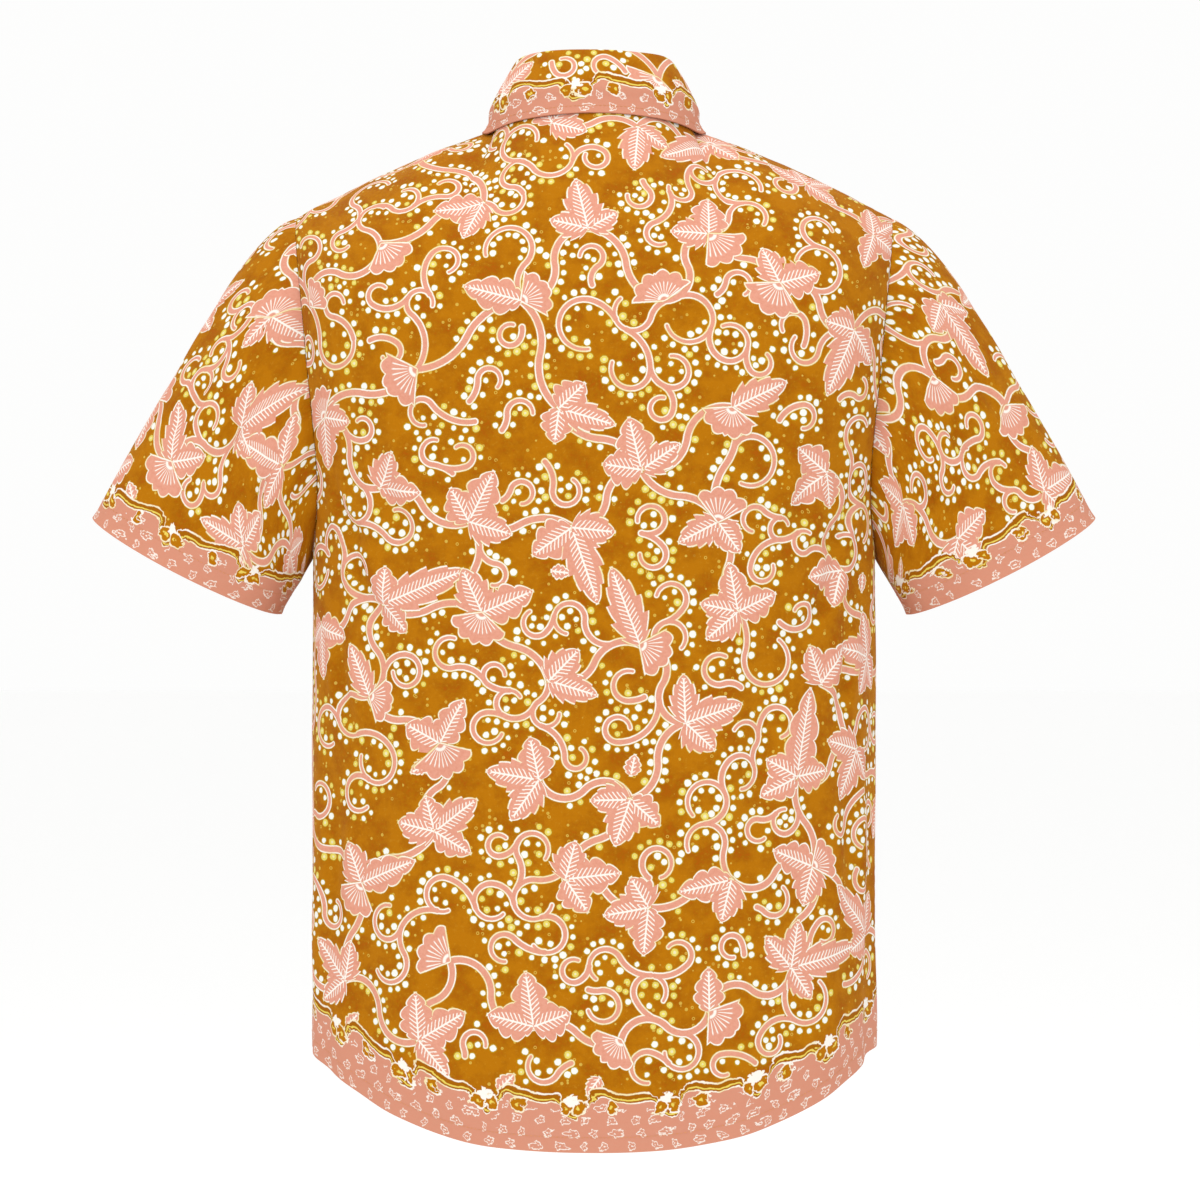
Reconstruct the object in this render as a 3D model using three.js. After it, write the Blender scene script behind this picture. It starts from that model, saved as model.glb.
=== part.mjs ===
// A short-sleeved collared shirt of thin cotton, filled out as when it is worn and open at the
// neck, hem and cuffs. Millimetres, +Z up. The front faces -Y and the wearer's left is +X.
// The origin is the middle of the neck seam, where the garment hangs from its wearer.
import * as THREE from "three";

// ---- driving sizes ----
const CLOTH = 1.5;                  // wall of the cloth
const SEAM_GAP = 0.3;               // room between two pieces at a seam
const TRIM_SLACK = 0.03;            // keeps a trimmed edge clear of rounding
const MITER_LIMIT = 0.6;            // how far an inner wall's corner may reach, as a cosine
const LAP_DROP = CLOTH + 0.7;       // how far the right front's edge lies under the band
const BAND_HALF = 17;               // half the width of the button band
const LAP_END = 15;                 // where the right front ends under the band

const NECK = { halfWidth: 76, halfDepth: 62, middleY: 4, backZ: 41, frontZ: -41, drop: 2.3 };
const NECK_POINT = 80;              // degrees from centre back to the shoulder seam's inner end
const SHOULDER_TIP = { x: 225, y: -4, z: -34 };
const SHOULDER_CROWN = 4;           // how far the shoulder line arches above its chord

const CHEST = { halfWidth: 213, halfDepth: 134, sideY: -4, squareness: 2.2 };
const HEM = { sideZ: -659, drop: 62.4, curve: 2.7 };
const ARMHOLE = { middleZ: -163, halfHeight: 129, fullBy: 0.62 };
const YOKE_START = 1.95;            // radians up the armhole where the cloth turns to the shoulder
// how the cloth arrives at the shoulder seam: lean is a share of the rise, and edgePull keeps the
// armhole's own line to the outermost columns
const YOKE = { probe: 0.05, lean: 1.25, arriveZ: 8, blendColumns: 4, edgePull: 5, evenness: 0.5 };

// one row for each height of the centre profile: where the back and the fronts stand
const PROFILE = [
  { z: -760, back: 131, front: -121 },
  { z: -600, back: 127, front: -123 },
  { z: -440, back: 124, front: -127 },
  { z: -292, back: 130, front: -130 },
  { z: -200, back: 133, front: -127 },
  { z: -100, back: 127, front: -111 },
  { z: 0, back: 112, front: -80 },
];

// what differs between the back and the fronts
// (squareness is that of the section between the armholes)
const BACK = { way: 1, key: "back", armY: 63, squareness: 3.1, arriveY: -90, arriveZ: 110 };
const FRONT = { way: -1, key: "front", armY: 60, squareness: 2.35, arriveY: 96, arriveZ: 60 };

// soft folds, one row each: at is degrees round from the wearer's left (0) through centre
// back (90), wide is the half width in degrees, and from and to are heights
const FOLDS = [
  { at: 16, wide: 9, depth: 3.4, from: -700, to: -300 },
  { at: 38, wide: 10, depth: -2.2, from: -730, to: -420 },
  { at: 66, wide: 9, depth: 1.8, from: -740, to: -520 },
  { at: 112, wide: 10, depth: -1.8, from: -740, to: -470 },
  { at: 143, wide: 9, depth: 2.4, from: -730, to: -380 },
  { at: 166, wide: 8, depth: -3.2, from: -710, to: -310 },
  { at: 200, wide: 10, depth: 3.0, from: -700, to: -330 },
  { at: 232, wide: 12, depth: -2.6, from: -720, to: -400 },
  { at: 305, wide: 11, depth: 2.8, from: -720, to: -390 },
  { at: 338, wide: 9, depth: -3.0, from: -700, to: -320 },
];

const FOLD_FADE = 1.6;              // how soon a fold reaches its full depth

const CUFF = { x: 308.7, y: -8, z: -297.3, half: 79.5, depth: 46, rise: 27, backDrop: 8 };
// degrees below level where the sleeve leaves and arrives, and how hard it holds those lines
const SLEEVE_TURN = { top: 21, under: 60, end: 61, lean: 0.06, underPull: 1, topPull: 0.52,
  endPull: 0.95, easing: 1.5 };

const STAND = { halfWidth: 60.5, halfDepth: 51, middleY: 3, backZ: 81.5, frontZ: -11.5, drop: 3 };
const FALL = { halfWidth: 84, backY: 74, backZ: 37, sideY: 18, sideZ: 29, roll: 2.9, foldUp: 1.2,
  belly: 2.5, room: 3.2, endTurn: 167 };
const FALL_OVER = [{ out: 1.0, up: 3.3 }, { out: -1.5, up: 3.0 }];   // the roll over the stand
const COLLAR_POINT = { x: 56, y: -96, z: -78 };

const BUTTON = { radius: 5.6, thick: 2.2, sides: 20, holes: 4, holeOut: 1.7,
  holeRadius: 0.8, holeSides: 6 };
const BUTTON_ROW = { count: 6, firstZ: -92, step: 88, standUp: 0.5 };

// ---- how finely the cloth is divided ----
const HEM_ROWS = 9;
const ARM_ROWS = 12;
const ROWS = HEM_ROWS + ARM_ROWS;
const NECK_COLUMNS = 5;
const SHOULDER_COLUMNS = 7;
const COLUMNS = NECK_COLUMNS + SHOULDER_COLUMNS;
const SLEEVE_ROWS = 8;
const STAND_ROWS = 3;
const FALL_ROWS = 4;
const FALL_COLUMNS = 32;

const rad = (degrees) => (degrees * Math.PI) / 180;
const mix = (a, b, t) => a + (b - a) * t;
const clamp01 = (t) => Math.min(1, Math.max(0, t));
const smooth = (t) => clamp01(t) ** 2 * (3 - 2 * clamp01(t));
const point = (x, y, z) => new THREE.Vector3(x, y, z);

function hermite(p0, m0, p1, m1, t) {
  const t2 = t * t;
  const t3 = t2 * t;
  return point(0, 0, 0)
    .addScaledVector(p0, 2 * t3 - 3 * t2 + 1)
    .addScaledVector(m0, t3 - 2 * t2 + t)
    .addScaledVector(p1, 3 * t2 - 2 * t3)
    .addScaledVector(m1, t3 - t2);
}

// the centre profile at a height, on a curve through the table's rows
const HALVINGS = 30;
const profileCurves = {};
for (const key of ["back", "front"]) {
  profileCurves[key] = new THREE.CatmullRomCurve3(
    PROFILE.map((row) => point(0, row[key], row.z)), false, "centripetal");
}
function profileY(key, z) {
  let low = 0;
  let high = 1;
  for (let i = 0; i < HALVINGS; i += 1) {
    const middle = (low + high) / 2;
    if (profileCurves[key].getPoint(middle).z < z) low = middle;
    else high = middle;
  }
  return profileCurves[key].getPoint(low).y;
}

// ---- seams that two or more pieces share ----
function neckSeam(degrees, side) {
  const turn = rad(degrees);
  const forward = ((1 - Math.cos(turn)) / 2) ** NECK.drop;
  return point(side * NECK.halfWidth * Math.sin(turn),
    NECK.middleY + NECK.halfDepth * Math.cos(turn), mix(NECK.backZ, NECK.frontZ, forward));
}

function shoulderSeam(t, side) {
  const inner = neckSeam(NECK_POINT, side);
  return point(mix(inner.x, side * SHOULDER_TIP.x, t), mix(inner.y, SHOULDER_TIP.y, smooth(t)),
    mix(inner.z, SHOULDER_TIP.z, t) + SHOULDER_CROWN * Math.sin(Math.PI * t));
}

const UNDERARM_Z = ARMHOLE.middleZ - ARMHOLE.halfHeight;

// a level section of the body is a rounded oval; reach gives its x at a y, and its y at an x
function section(panel, z) {
  const up = (z - UNDERARM_Z) / (SHOULDER_TIP.z - UNDERARM_Z);
  const power = mix(CHEST.squareness, panel.squareness, smooth(up / ARMHOLE.fullBy));
  const halfWidth = mix(CHEST.halfWidth, SHOULDER_TIP.x, smooth(up));
  const depth = profileY(panel.key, z) - CHEST.sideY;
  const rest = (share) => Math.max(0, 1 - Math.abs(share) ** power) ** (1 / power);
  return {
    xAt: (y) => halfWidth * rest((y - CHEST.sideY) / depth),
    yAt: (x) => CHEST.sideY + depth * rest(x / halfWidth),
  };
}

// turn runs from 0 at the underarm to pi at the shoulder tip
function armholeSeam(panel, turn, side) {
  const y = CHEST.sideY + panel.way * panel.armY * Math.sin(turn);
  const z = ARMHOLE.middleZ - ARMHOLE.halfHeight * Math.cos(turn);
  return point(side * section(panel, z).xAt(y), y, z);
}

const hemZ = (x) => HEM.sideZ - HEM.drop * (1 - Math.abs(x / CHEST.halfWidth) ** HEM.curve);

// the neck angle of the inner columns: the band's edge is a column of both fronts
function neckAngle(panel, column) {
  if (panel.way > 0) return (NECK_POINT * column) / NECK_COLUMNS;
  if (column === 0) return 180;
  const bandAngle = 180 - (Math.asin(BAND_HALF / NECK.halfWidth) * 180) / Math.PI;
  return mix(bandAngle, NECK_POINT, (column - 1) / (NECK_COLUMNS - 1));
}

function topEdge(panel, column, side) {
  if (column <= NECK_COLUMNS) return neckSeam(neckAngle(panel, column), side);
  return shoulderSeam((column - NECK_COLUMNS) / SHOULDER_COLUMNS, side);
}

// how far out across a panel a column stands, 0 at the centre and 1 at the side
function across(panel, column, evenness, halfWidth) {
  const spread = (t) => mix(Math.sin((t * Math.PI) / 2) ** (2 / CHEST.squareness), t, evenness);
  if (panel.way > 0) return spread(column / COLUMNS);
  if (column === 0) return 0;
  return mix(BAND_HALF / halfWidth, 1, spread((column - 1) / (COLUMNS - 1)));
}

// a point of the section at the underarm, or between the armholes
function sectionPoint(panel, column, turn, side) {
  const edge = armholeSeam(panel, turn, 1);
  const evenness = YOKE.evenness * smooth(turn / YOKE_START);
  const x = across(panel, column, evenness, edge.x) * edge.x;
  const y = column === COLUMNS ? edge.y : section(panel, edge.z).yAt(x);
  return point(side * x, y, edge.z);
}

function foldDepth(x, y, z) {
  const turn = Math.atan2(y, (x * CHEST.halfDepth) / CHEST.halfWidth);
  const around = (THREE.MathUtils.radToDeg(turn) + 360) % 360;
  let depth = 0;
  for (const fold of FOLDS) {
    const off = Math.abs(((around - fold.at + 540) % 360) - 180) / fold.wide;
    const along = (z - fold.from) / (fold.to - fold.from);
    if (off < 1 && along < 1) {
      depth += fold.depth * Math.cos((off * Math.PI) / 2) ** 2 * smooth((1 - along) * FOLD_FADE);
    }
  }
  return depth;
}

// below the underarm, with the folds
function skirtPoint(panel, column, row, side) {
  const chest = sectionPoint(panel, column, 0, side);
  const z = mix(hemZ(chest.x), UNDERARM_Z, row / HEM_ROWS);
  const atUnderarm = profileY(panel.key, UNDERARM_Z);
  const share = Math.abs((chest.y - CHEST.sideY) / (atUnderarm - CHEST.sideY));
  const p = point(chest.x, chest.y + (profileY(panel.key, z) - atUnderarm) * share, z);
  const out = point(p.x / CHEST.halfWidth ** 2, (p.y - CHEST.sideY) / CHEST.halfDepth ** 2, 0);
  return p.addScaledVector(out.normalize(), foldDepth(p.x, p.y, z));
}

// a column's curve from between the armholes up to the neck or shoulder seam
function yokeCurve(panel, column, side, t, overNeck) {
  const start = sectionPoint(panel, column, YOKE_START, side);
  const below = sectionPoint(panel, column, YOKE_START - YOKE.probe, side);
  const end = topEdge(panel, column, side);
  const rise = end.clone().sub(start);
  const leave = start.clone().sub(below).normalize().multiplyScalar(rise.length());
  const arrive = point(0, mix(-panel.way * YOKE.lean * Math.abs(rise.y), panel.arriveY, overNeck),
    mix(YOKE.arriveZ, panel.arriveZ, overNeck));
  return hermite(start, leave, end, arrive, t);
}

// row 0 is the hem, row HEM_ROWS the underarm and row ROWS the neck and shoulder
function bodyPoint(panel, column, row, side) {
  if (row <= HEM_ROWS) return skirtPoint(panel, column, row, side);
  const turn = (Math.PI * (row - HEM_ROWS)) / ARM_ROWS;
  if (turn <= YOKE_START) return sectionPoint(panel, column, turn, side);
  const t = (turn - YOKE_START) / (Math.PI - YOKE_START);
  const overNeck = smooth((NECK_COLUMNS + 2 - column) / YOKE.blendColumns);
  const correction = armholeSeam(panel, turn, side).sub(yokeCurve(panel, COLUMNS, side, t, 0));
  return yokeCurve(panel, column, side, t, overNeck)
    .addScaledVector(correction, (column / COLUMNS) ** YOKE.edgePull);
}

// ---- sheets: grids of outer points, each row running the same way ----
function grid(rows, columns, at) {
  return Array.from({ length: rows }, (_, i) => Array.from({ length: columns }, (_, j) => at(i, j)));
}

function signedColumn(panel, k, row) {
  return bodyPoint(panel, Math.abs(k), row, k < 0 ? -1 : 1);
}

const backSheet = grid(ROWS + 1, 2 * COLUMNS + 1, (i, j) => signedColumn(BACK, COLUMNS - j, i));
const frontSurface = grid(ROWS + 1, 2 * COLUMNS + 1, (i, j) => signedColumn(FRONT, j - COLUMNS, i));
const leftSheet = frontSurface.map((row) => row.slice(COLUMNS + 1));
const bandSheet = frontSurface.map((row) => row.slice(COLUMNS - 1, COLUMNS + 2));

// straight back from the centre front line into the garment; the stand leans the other way
function lapStep(i) {
  const line = frontSurface.map((row) => row[COLUMNS]);
  const rise = line[Math.min(i + 1, ROWS)].clone().sub(line[Math.max(i - 1, 0)]).normalize();
  if (i === ROWS) rise.add(standTop(Math.PI, 0).sub(line[ROWS]).normalize());
  return rise.cross(point(1, 0, 0)).setLength(LAP_DROP);
}

// the right front's edge dips under the band, and stops just short of the left front
const rightSheet = frontSurface.map((row, i) => row.slice(0, COLUMNS + 2).map((p, j) => {
  if (j < COLUMNS - 1) return p.clone();
  return point(j === COLUMNS + 1 ? LAP_END : p.x, p.y, p.z).add(lapStep(i));
}));

// the upper edge of the collar stand; turn runs round from centre back
function standTop(turn, drop) {
  const forward = ((1 - Math.cos(turn)) / 2) ** STAND.drop;
  return point(STAND.halfWidth * Math.sin(turn),
    STAND.middleY + STAND.halfDepth * Math.cos(turn) + drop, mix(STAND.backZ, STAND.frontZ, forward));
}

function armholeRing(side) {
  const ring = [];
  for (let i = 0; i <= ARM_ROWS; i += 1) ring.push(armholeSeam(BACK, (Math.PI * i) / ARM_ROWS, side));
  for (let i = ARM_ROWS - 1; i > 0; i -= 1) ring.push(armholeSeam(FRONT, (Math.PI * i) / ARM_ROWS, side));
  return ring;
}

function sleevePoint(i, j, side) {
  const turn = (Math.PI * j) / ARM_ROWS;              // 0 to pi up the back, then down the front
  const start = armholeRing(side)[j % (2 * ARM_ROWS)];
  const up = (1 - Math.cos(turn)) / 2;
  const along = point(side * Math.cos(rad(CUFF.rise)), 0, Math.sin(rad(CUFF.rise)));
  const end = point(side * CUFF.x, CUFF.y + CUFF.depth * Math.sin(turn),
    CUFF.z - CUFF.backDrop * Math.abs(Math.sin(turn)))
    .addScaledVector(along, -CUFF.half * Math.cos(turn));
  const chord = end.distanceTo(start);
  const dip = rad(mix(SLEEVE_TURN.under, SLEEVE_TURN.top, up ** SLEEVE_TURN.easing));
  const last = rad(SLEEVE_TURN.end);
  const leave = point(side * Math.cos(dip), SLEEVE_TURN.lean * Math.sin(turn), -Math.sin(dip))
    .multiplyScalar(chord * mix(SLEEVE_TURN.underPull, SLEEVE_TURN.topPull, up));
  const arrive = point(side * Math.cos(last), 0, -Math.sin(last))
    .multiplyScalar(chord * SLEEVE_TURN.endPull);
  return hermite(start, leave, end, arrive, i / SLEEVE_ROWS);
}

// the ring runs up the back and down the front; the right sleeve runs the other way round
const sleeveSheet = (side) => grid(SLEEVE_ROWS + 1, 2 * ARM_ROWS,
  (i, j) => sleevePoint(i, side > 0 ? j : (2 * ARM_ROWS - j) % (2 * ARM_ROWS), side));

// the neck seam from the band's far edge, round the back, to the right front's hidden edge
const neckStations = [
  ...bandSheet[ROWS],
  ...leftSheet[ROWS].slice(1, NECK_COLUMNS),
  ...backSheet[ROWS].slice(SHOULDER_COLUMNS + 1, SHOULDER_COLUMNS + 2 * NECK_COLUMNS),
  ...rightSheet[ROWS].slice(SHOULDER_COLUMNS),
];

const standSheet = grid(STAND_ROWS + 1, neckStations.length, (i, j) => {
  const seam = neckStations[j];
  const drop = j >= neckStations.length - 3 ? LAP_DROP : 0;
  const sideways = Math.asin(seam.x / NECK.halfWidth);
  const turn = seam.y - drop > NECK.middleY ? sideways : Math.PI - sideways;
  return seam.clone().lerp(standTop(turn, drop), i / STAND_ROWS);
});

// the free edge of the fall: level round the back, then forward and down to the collar points
function fallEdge(turn) {
  const side = Math.sign(turn);
  const degrees = Math.abs(THREE.MathUtils.radToDeg(turn));
  if (degrees <= NECK_POINT) {
    const swing = Math.cos(rad((degrees * 90) / NECK_POINT));
    return point(side * FALL.halfWidth * Math.sin(rad((degrees * 90) / NECK_POINT)) ** 0.9,
      mix(FALL.sideY, FALL.backY, swing), mix(FALL.sideZ, FALL.backZ, swing));
  }
  const t = (degrees - NECK_POINT) / (FALL.endTurn - NECK_POINT);
  return point(side * mix(FALL.halfWidth, COLLAR_POINT.x, t ** 1.8),
    mix(FALL.sideY, COLLAR_POINT.y, t), mix(FALL.sideZ, COLLAR_POINT.z, t ** 1.25));
}

const bodyTriangles = [];
for (const sheet of [backSheet, frontSurface]) {
  for (let i = HEM_ROWS + 2; i < ROWS; i += 1) {
    for (let j = 0; j + 1 < sheet[0].length; j += 1) {
      const corners = [sheet[i][j], sheet[i][j + 1], sheet[i + 1][j + 1], sheet[i + 1][j]];
      bodyTriangles.push(new THREE.Triangle(corners[0], corners[1], corners[2]));
      bodyTriangles.push(new THREE.Triangle(corners[0], corners[2], corners[3]));
    }
  }
}

// moves a point out until it stands clear of the fronts and back
function clearOfBody(p, room) {
  const nearest = point(0, 0, 0);
  for (let pass = 0; pass < 3; pass += 1) {
    let best = null;
    for (const triangle of bodyTriangles) {
      triangle.closestPointToPoint(p, nearest);
      const distance = nearest.distanceTo(p);
      if (!best || distance < best.distance - 1e-9) {
        best = { distance, at: nearest.clone(), normal: triangle.getNormal(point(0, 0, 0)) };
      }
    }
    const height = p.clone().sub(best.at).dot(best.normal);
    const signed = height < 0 ? -best.distance : best.distance;
    if (signed < room) p.addScaledVector(best.normal, room - signed);
  }
  return p;
}

// rows run from the free edge up to the fold and over the top of the stand
function fallPoint(i, turn) {
  const top = standTop(turn, 0);
  const out = point(Math.sin(turn) / STAND.halfWidth, Math.cos(turn) / STAND.halfDepth, 0).normalize();
  if (i > FALL_ROWS) {
    const over = FALL_OVER[i - FALL_ROWS - 1];
    return top.addScaledVector(out, over.out).add(point(0, 0, over.up));
  }
  const fold = top.addScaledVector(out, FALL.roll).add(point(0, 0, FALL.foldUp));
  const t = i / FALL_ROWS;
  const p = fallEdge(turn).lerp(fold, t).addScaledVector(out, FALL.belly * Math.sin(Math.PI * t));
  return i < FALL_ROWS ? clearOfBody(p, FALL.room) : p;
}

const fallSheet = grid(FALL_ROWS + 1 + FALL_OVER.length, FALL_COLUMNS + 1,
  (i, j) => fallPoint(i, rad(mix(FALL.endTurn, -FALL.endTurn, j / FALL_COLUMNS))));

// ---- cloth walls ----
const sheets = [
  { name: "back", part: "body", points: backSheet },
  { name: "front_left", part: "body", points: leftSheet },
  { name: "front_right", part: "body", points: rightSheet },
  { name: "placket_band", part: "body", points: bandSheet },
  { name: "sleeve_left", part: "sleeve", points: sleeveSheet(1), ring: true, extraRoom: 0.25 },
  { name: "sleeve_right", part: "sleeve", points: sleeveSheet(-1), ring: true, extraRoom: 0.25 },
  { name: "collar_stand", part: "stand", points: standSheet, extraRoom: 0.8 },
  { name: "collar_fall", part: "fall", points: fallSheet },
];

function eachCell({ points, ring }, visit) {
  const columns = points[0].length;
  for (let i = 0; i + 1 < points.length; i += 1) {
    for (let j = 0; j + (ring ? 0 : 1) < columns; j += 1) {
      visit([[i, j], [i, (j + 1) % columns], [i + 1, (j + 1) % columns], [i + 1, j]]);
    }
  }
}

// at a seam the pieces that meet share one direction, so their edges face each other squarely
const seamNormals = new Map();
const placeKey = (p) => [p.x, p.y, p.z].map((v) => Math.round(v * 50)).join(" ");
for (const sheet of sheets) {
  eachCell(sheet, (corners) => {
    const [a, b, c, d] = corners.map(([i, j]) => sheet.points[i][j]);
    const normal = c.clone().sub(a).cross(d.clone().sub(b)).normalize();
    for (const p of [a, b, c, d]) {
      const key = placeKey(p);
      if (!seamNormals.has(key)) seamNormals.set(key, {});
      const parts = seamNormals.get(key);
      parts[sheet.part] = (parts[sheet.part] || point(0, 0, 0)).add(normal);
    }
  });
}

function inwardStep(p) {
  const directions = Object.values(seamNormals.get(placeKey(p))).map((n) => n.clone().normalize());
  const mean = directions.reduce((sum, n) => sum.add(n), point(0, 0, 0)).normalize();
  return mean.multiplyScalar(-CLOTH / Math.max(MITER_LIMIT, directions[0].dot(mean)));
}

// half a seam gap back from each open edge, along the sheet
function trimStep({ points, ring, extraRoom = 0 }, i, j) {
  const last = points.length - 1;
  const end = points[0].length - 1;
  const step = point(0, 0, 0);
  const room = SEAM_GAP / 2 + TRIM_SLACK + extraRoom;
  const towards = (p) => step.add(p.clone().sub(points[i][j]).setLength(room));
  if (i === 0) towards(points[1][j]);
  if (i === last) towards(points[last - 1][j]);
  if (!ring && j === 0) towards(points[i][1]);
  if (!ring && j === end) towards(points[i][end - 1]);
  return step;
}

function wallGeometry(sheet) {
  const { points, ring } = sheet;
  const rows = points.length;
  const columns = points[0].length;
  const corners = [];
  for (const inner of [false, true]) {
    for (let i = 0; i < rows; i += 1) {
      for (let j = 0; j < columns; j += 1) {
        const p = points[i][j].clone().add(trimStep(sheet, i, j));
        if (inner) p.add(inwardStep(points[i][j]));
        corners.push(p.x, p.y, p.z);
      }
    }
  }
  const faces = [];
  const outer = ([i, j]) => i * columns + j;
  const inner = ([i, j]) => rows * columns + i * columns + j;
  const quad = (a, b, c, d) => faces.push(a, b, c, a, c, d);
  const edge = (a, b) => quad(outer(b), outer(a), inner(a), inner(b));
  eachCell(sheet, ([a, b, c, d]) => {
    quad(outer(a), outer(b), outer(c), outer(d));
    quad(inner(a), inner(d), inner(c), inner(b));
    if (a[0] === 0) edge(a, b);
    if (d[0] === rows - 1) edge(c, d);
    if (!ring && a[1] === 0) edge(d, a);
    if (!ring && b[1] === columns - 1) edge(b, c);
  });
  const geometry = new THREE.BufferGeometry();
  geometry.setAttribute("position", new THREE.Float32BufferAttribute(corners, 3));
  geometry.setIndex(faces);
  geometry.computeVertexNormals();
  return geometry;
}

// ---- buttons ----
function buttonGeometry() {
  const shape = new THREE.Shape();
  const trace = (path, x, y, radius, sides) => {
    for (let i = 0; i < sides; i += 1) {
      const turn = (2 * Math.PI * i) / sides;
      if (i === 0) path.moveTo(x + radius, y);
      else path.lineTo(x + radius * Math.cos(turn), y + radius * Math.sin(turn));
    }
    path.closePath();
  };
  trace(shape, 0, 0, BUTTON.radius, BUTTON.sides);
  for (let i = 0; i < BUTTON.holes; i += 1) {
    const turn = (Math.PI * (2 * i + 1)) / BUTTON.holes;
    const hole = new THREE.Path();
    trace(hole, BUTTON.holeOut * Math.cos(turn), BUTTON.holeOut * Math.sin(turn),
      BUTTON.holeRadius, BUTTON.holeSides);
    shape.holes.push(hole);
  }
  return new THREE.ExtrudeGeometry(shape, { depth: BUTTON.thick, bevelEnabled: false });
}

// the centre line of the band, then of the stand above it
function frontPlace(z) {
  const line = [...bandSheet.map((row) => row[1]), ...standSheet.slice(1).map((row) => row[1])];
  const i = line.findIndex((p, k) => k + 1 < line.length && line[k + 1].z >= z);
  const rise = line[i + 1].clone().sub(line[i]).normalize();
  const at = line[i].clone().lerp(line[i + 1], (z - line[i].z) / (line[i + 1].z - line[i].z));
  const out = point(1, 0, 0).cross(rise).normalize();
  return { at: at.addScaledVector(out, BUTTON_ROW.standUp), out };
}

// ---- the shirt ----
const cloth = () => new THREE.MeshStandardMaterial({ color: 0xbe7a10, roughness: 0.82, metalness: 0 });
const buttonFinish = () => new THREE.MeshStandardMaterial({ color: 0xa9743a, roughness: 0.4 });

const shirt = new THREE.Group();
for (const sheet of sheets) {
  const piece = new THREE.Mesh(wallGeometry(sheet), cloth());
  piece.name = sheet.name;
  shirt.add(piece);
}

const standMiddleZ = (standSheet[0][1].z + standSheet[STAND_ROWS][1].z) / 2;
const buttonHeights = [standMiddleZ];
for (let i = 0; i < BUTTON_ROW.count; i += 1) buttonHeights.push(BUTTON_ROW.firstZ - i * BUTTON_ROW.step);
buttonHeights.forEach((z, i) => {
  const { at, out } = frontPlace(z);
  const button = new THREE.Mesh(buttonGeometry(), buttonFinish());
  button.name = `button_${i + 1}`;
  button.position.copy(at);
  button.quaternion.setFromUnitVectors(point(0, 0, 1), out);
  shirt.add(button);
});

export default shirt;
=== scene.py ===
import bpy
import math
import numpy as np
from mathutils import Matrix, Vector
from mathutils.bvhtree import BVHTree
from mathutils.kdtree import KDTree


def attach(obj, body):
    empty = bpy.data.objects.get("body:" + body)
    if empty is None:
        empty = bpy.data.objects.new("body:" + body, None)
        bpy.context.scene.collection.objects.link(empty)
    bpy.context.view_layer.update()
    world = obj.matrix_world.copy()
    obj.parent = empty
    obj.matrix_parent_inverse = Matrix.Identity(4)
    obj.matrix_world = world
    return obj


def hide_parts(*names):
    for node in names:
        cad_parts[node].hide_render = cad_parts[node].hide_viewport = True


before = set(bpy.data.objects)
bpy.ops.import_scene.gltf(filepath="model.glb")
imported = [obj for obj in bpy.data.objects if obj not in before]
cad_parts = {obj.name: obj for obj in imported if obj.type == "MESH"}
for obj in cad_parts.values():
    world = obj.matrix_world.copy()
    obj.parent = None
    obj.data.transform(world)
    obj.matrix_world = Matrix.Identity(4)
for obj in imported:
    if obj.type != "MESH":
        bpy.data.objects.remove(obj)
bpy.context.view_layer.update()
print("frame loaded", len(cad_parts), "nodes")


# the cut, in metres, as the solids have it
cut = {
    "neckHalfWidth": 0.076, "neckHalfDepth": 0.062, "neckMiddleY": 0.004,
    "neckBackZ": 0.041, "neckFrontZ": -0.041, "neckDrop": 2.3, "neckPoint": math.radians(80),
    "tipX": 0.225, "tipY": -0.004, "tipZ": -0.034, "shoulderCrown": 0.004,
    "chestHalfWidth": 0.213, "chestHalfDepth": 0.134, "sideY": -0.004, "squareness": 2.2,
    "hemSideZ": -0.659, "hemDrop": 0.0624, "hemCurve": 2.7,
    "armMiddleZ": -0.163, "armHalfHeight": 0.129, "armFullBy": 0.62, "yokeStart": 1.95,
    "bandHalf": 0.017, "lapEnd": 0.015, "lapDrop": 0.0022,
    "hemRows": 9, "armRows": 12, "neckColumns": 5, "columns": 12,
    "clothThick": 0.0009, "seamRoom": 0.00006,
}
profileRows = [          # height, how far back and how far forward the cloth stands
    (-0.760, 0.131, -0.121), (-0.600, 0.127, -0.123), (-0.440, 0.124, -0.127),
    (-0.292, 0.130, -0.130), (-0.200, 0.133, -0.127), (-0.100, 0.127, -0.111), (0.0, 0.112, -0.080)]
backCut = {"way": 1, "profile": 1, "armY": 0.063, "squareness": 3.1, "arriveY": -0.090, "arriveZ": 0.110}
frontCut = {"way": -1, "profile": 2, "armY": 0.060, "squareness": 2.35, "arriveY": 0.096, "arriveZ": 0.060}
foldRows = [             # degrees round, half width in degrees, depth, from and to height
    (16, 9, 0.0034, -0.700, -0.300), (38, 10, -0.0022, -0.730, -0.420), (66, 9, 0.0018, -0.740, -0.520),
    (112, 10, -0.0018, -0.740, -0.470), (143, 9, 0.0024, -0.730, -0.380), (166, 8, -0.0032, -0.710, -0.310),
    (200, 10, 0.0030, -0.700, -0.330), (232, 12, -0.0026, -0.720, -0.400), (305, 11, 0.0028, -0.720, -0.390),
    (338, 9, -0.0030, -0.700, -0.320)]
sleeveCut = {
    "x": 0.3087, "y": -0.008, "z": -0.2973, "half": 0.0795, "depth": 0.046, "rise": math.radians(27),
    "backDrop": 0.008, "leaveTop": 21, "leaveUnder": 60, "arrive": math.radians(61),
}
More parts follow.
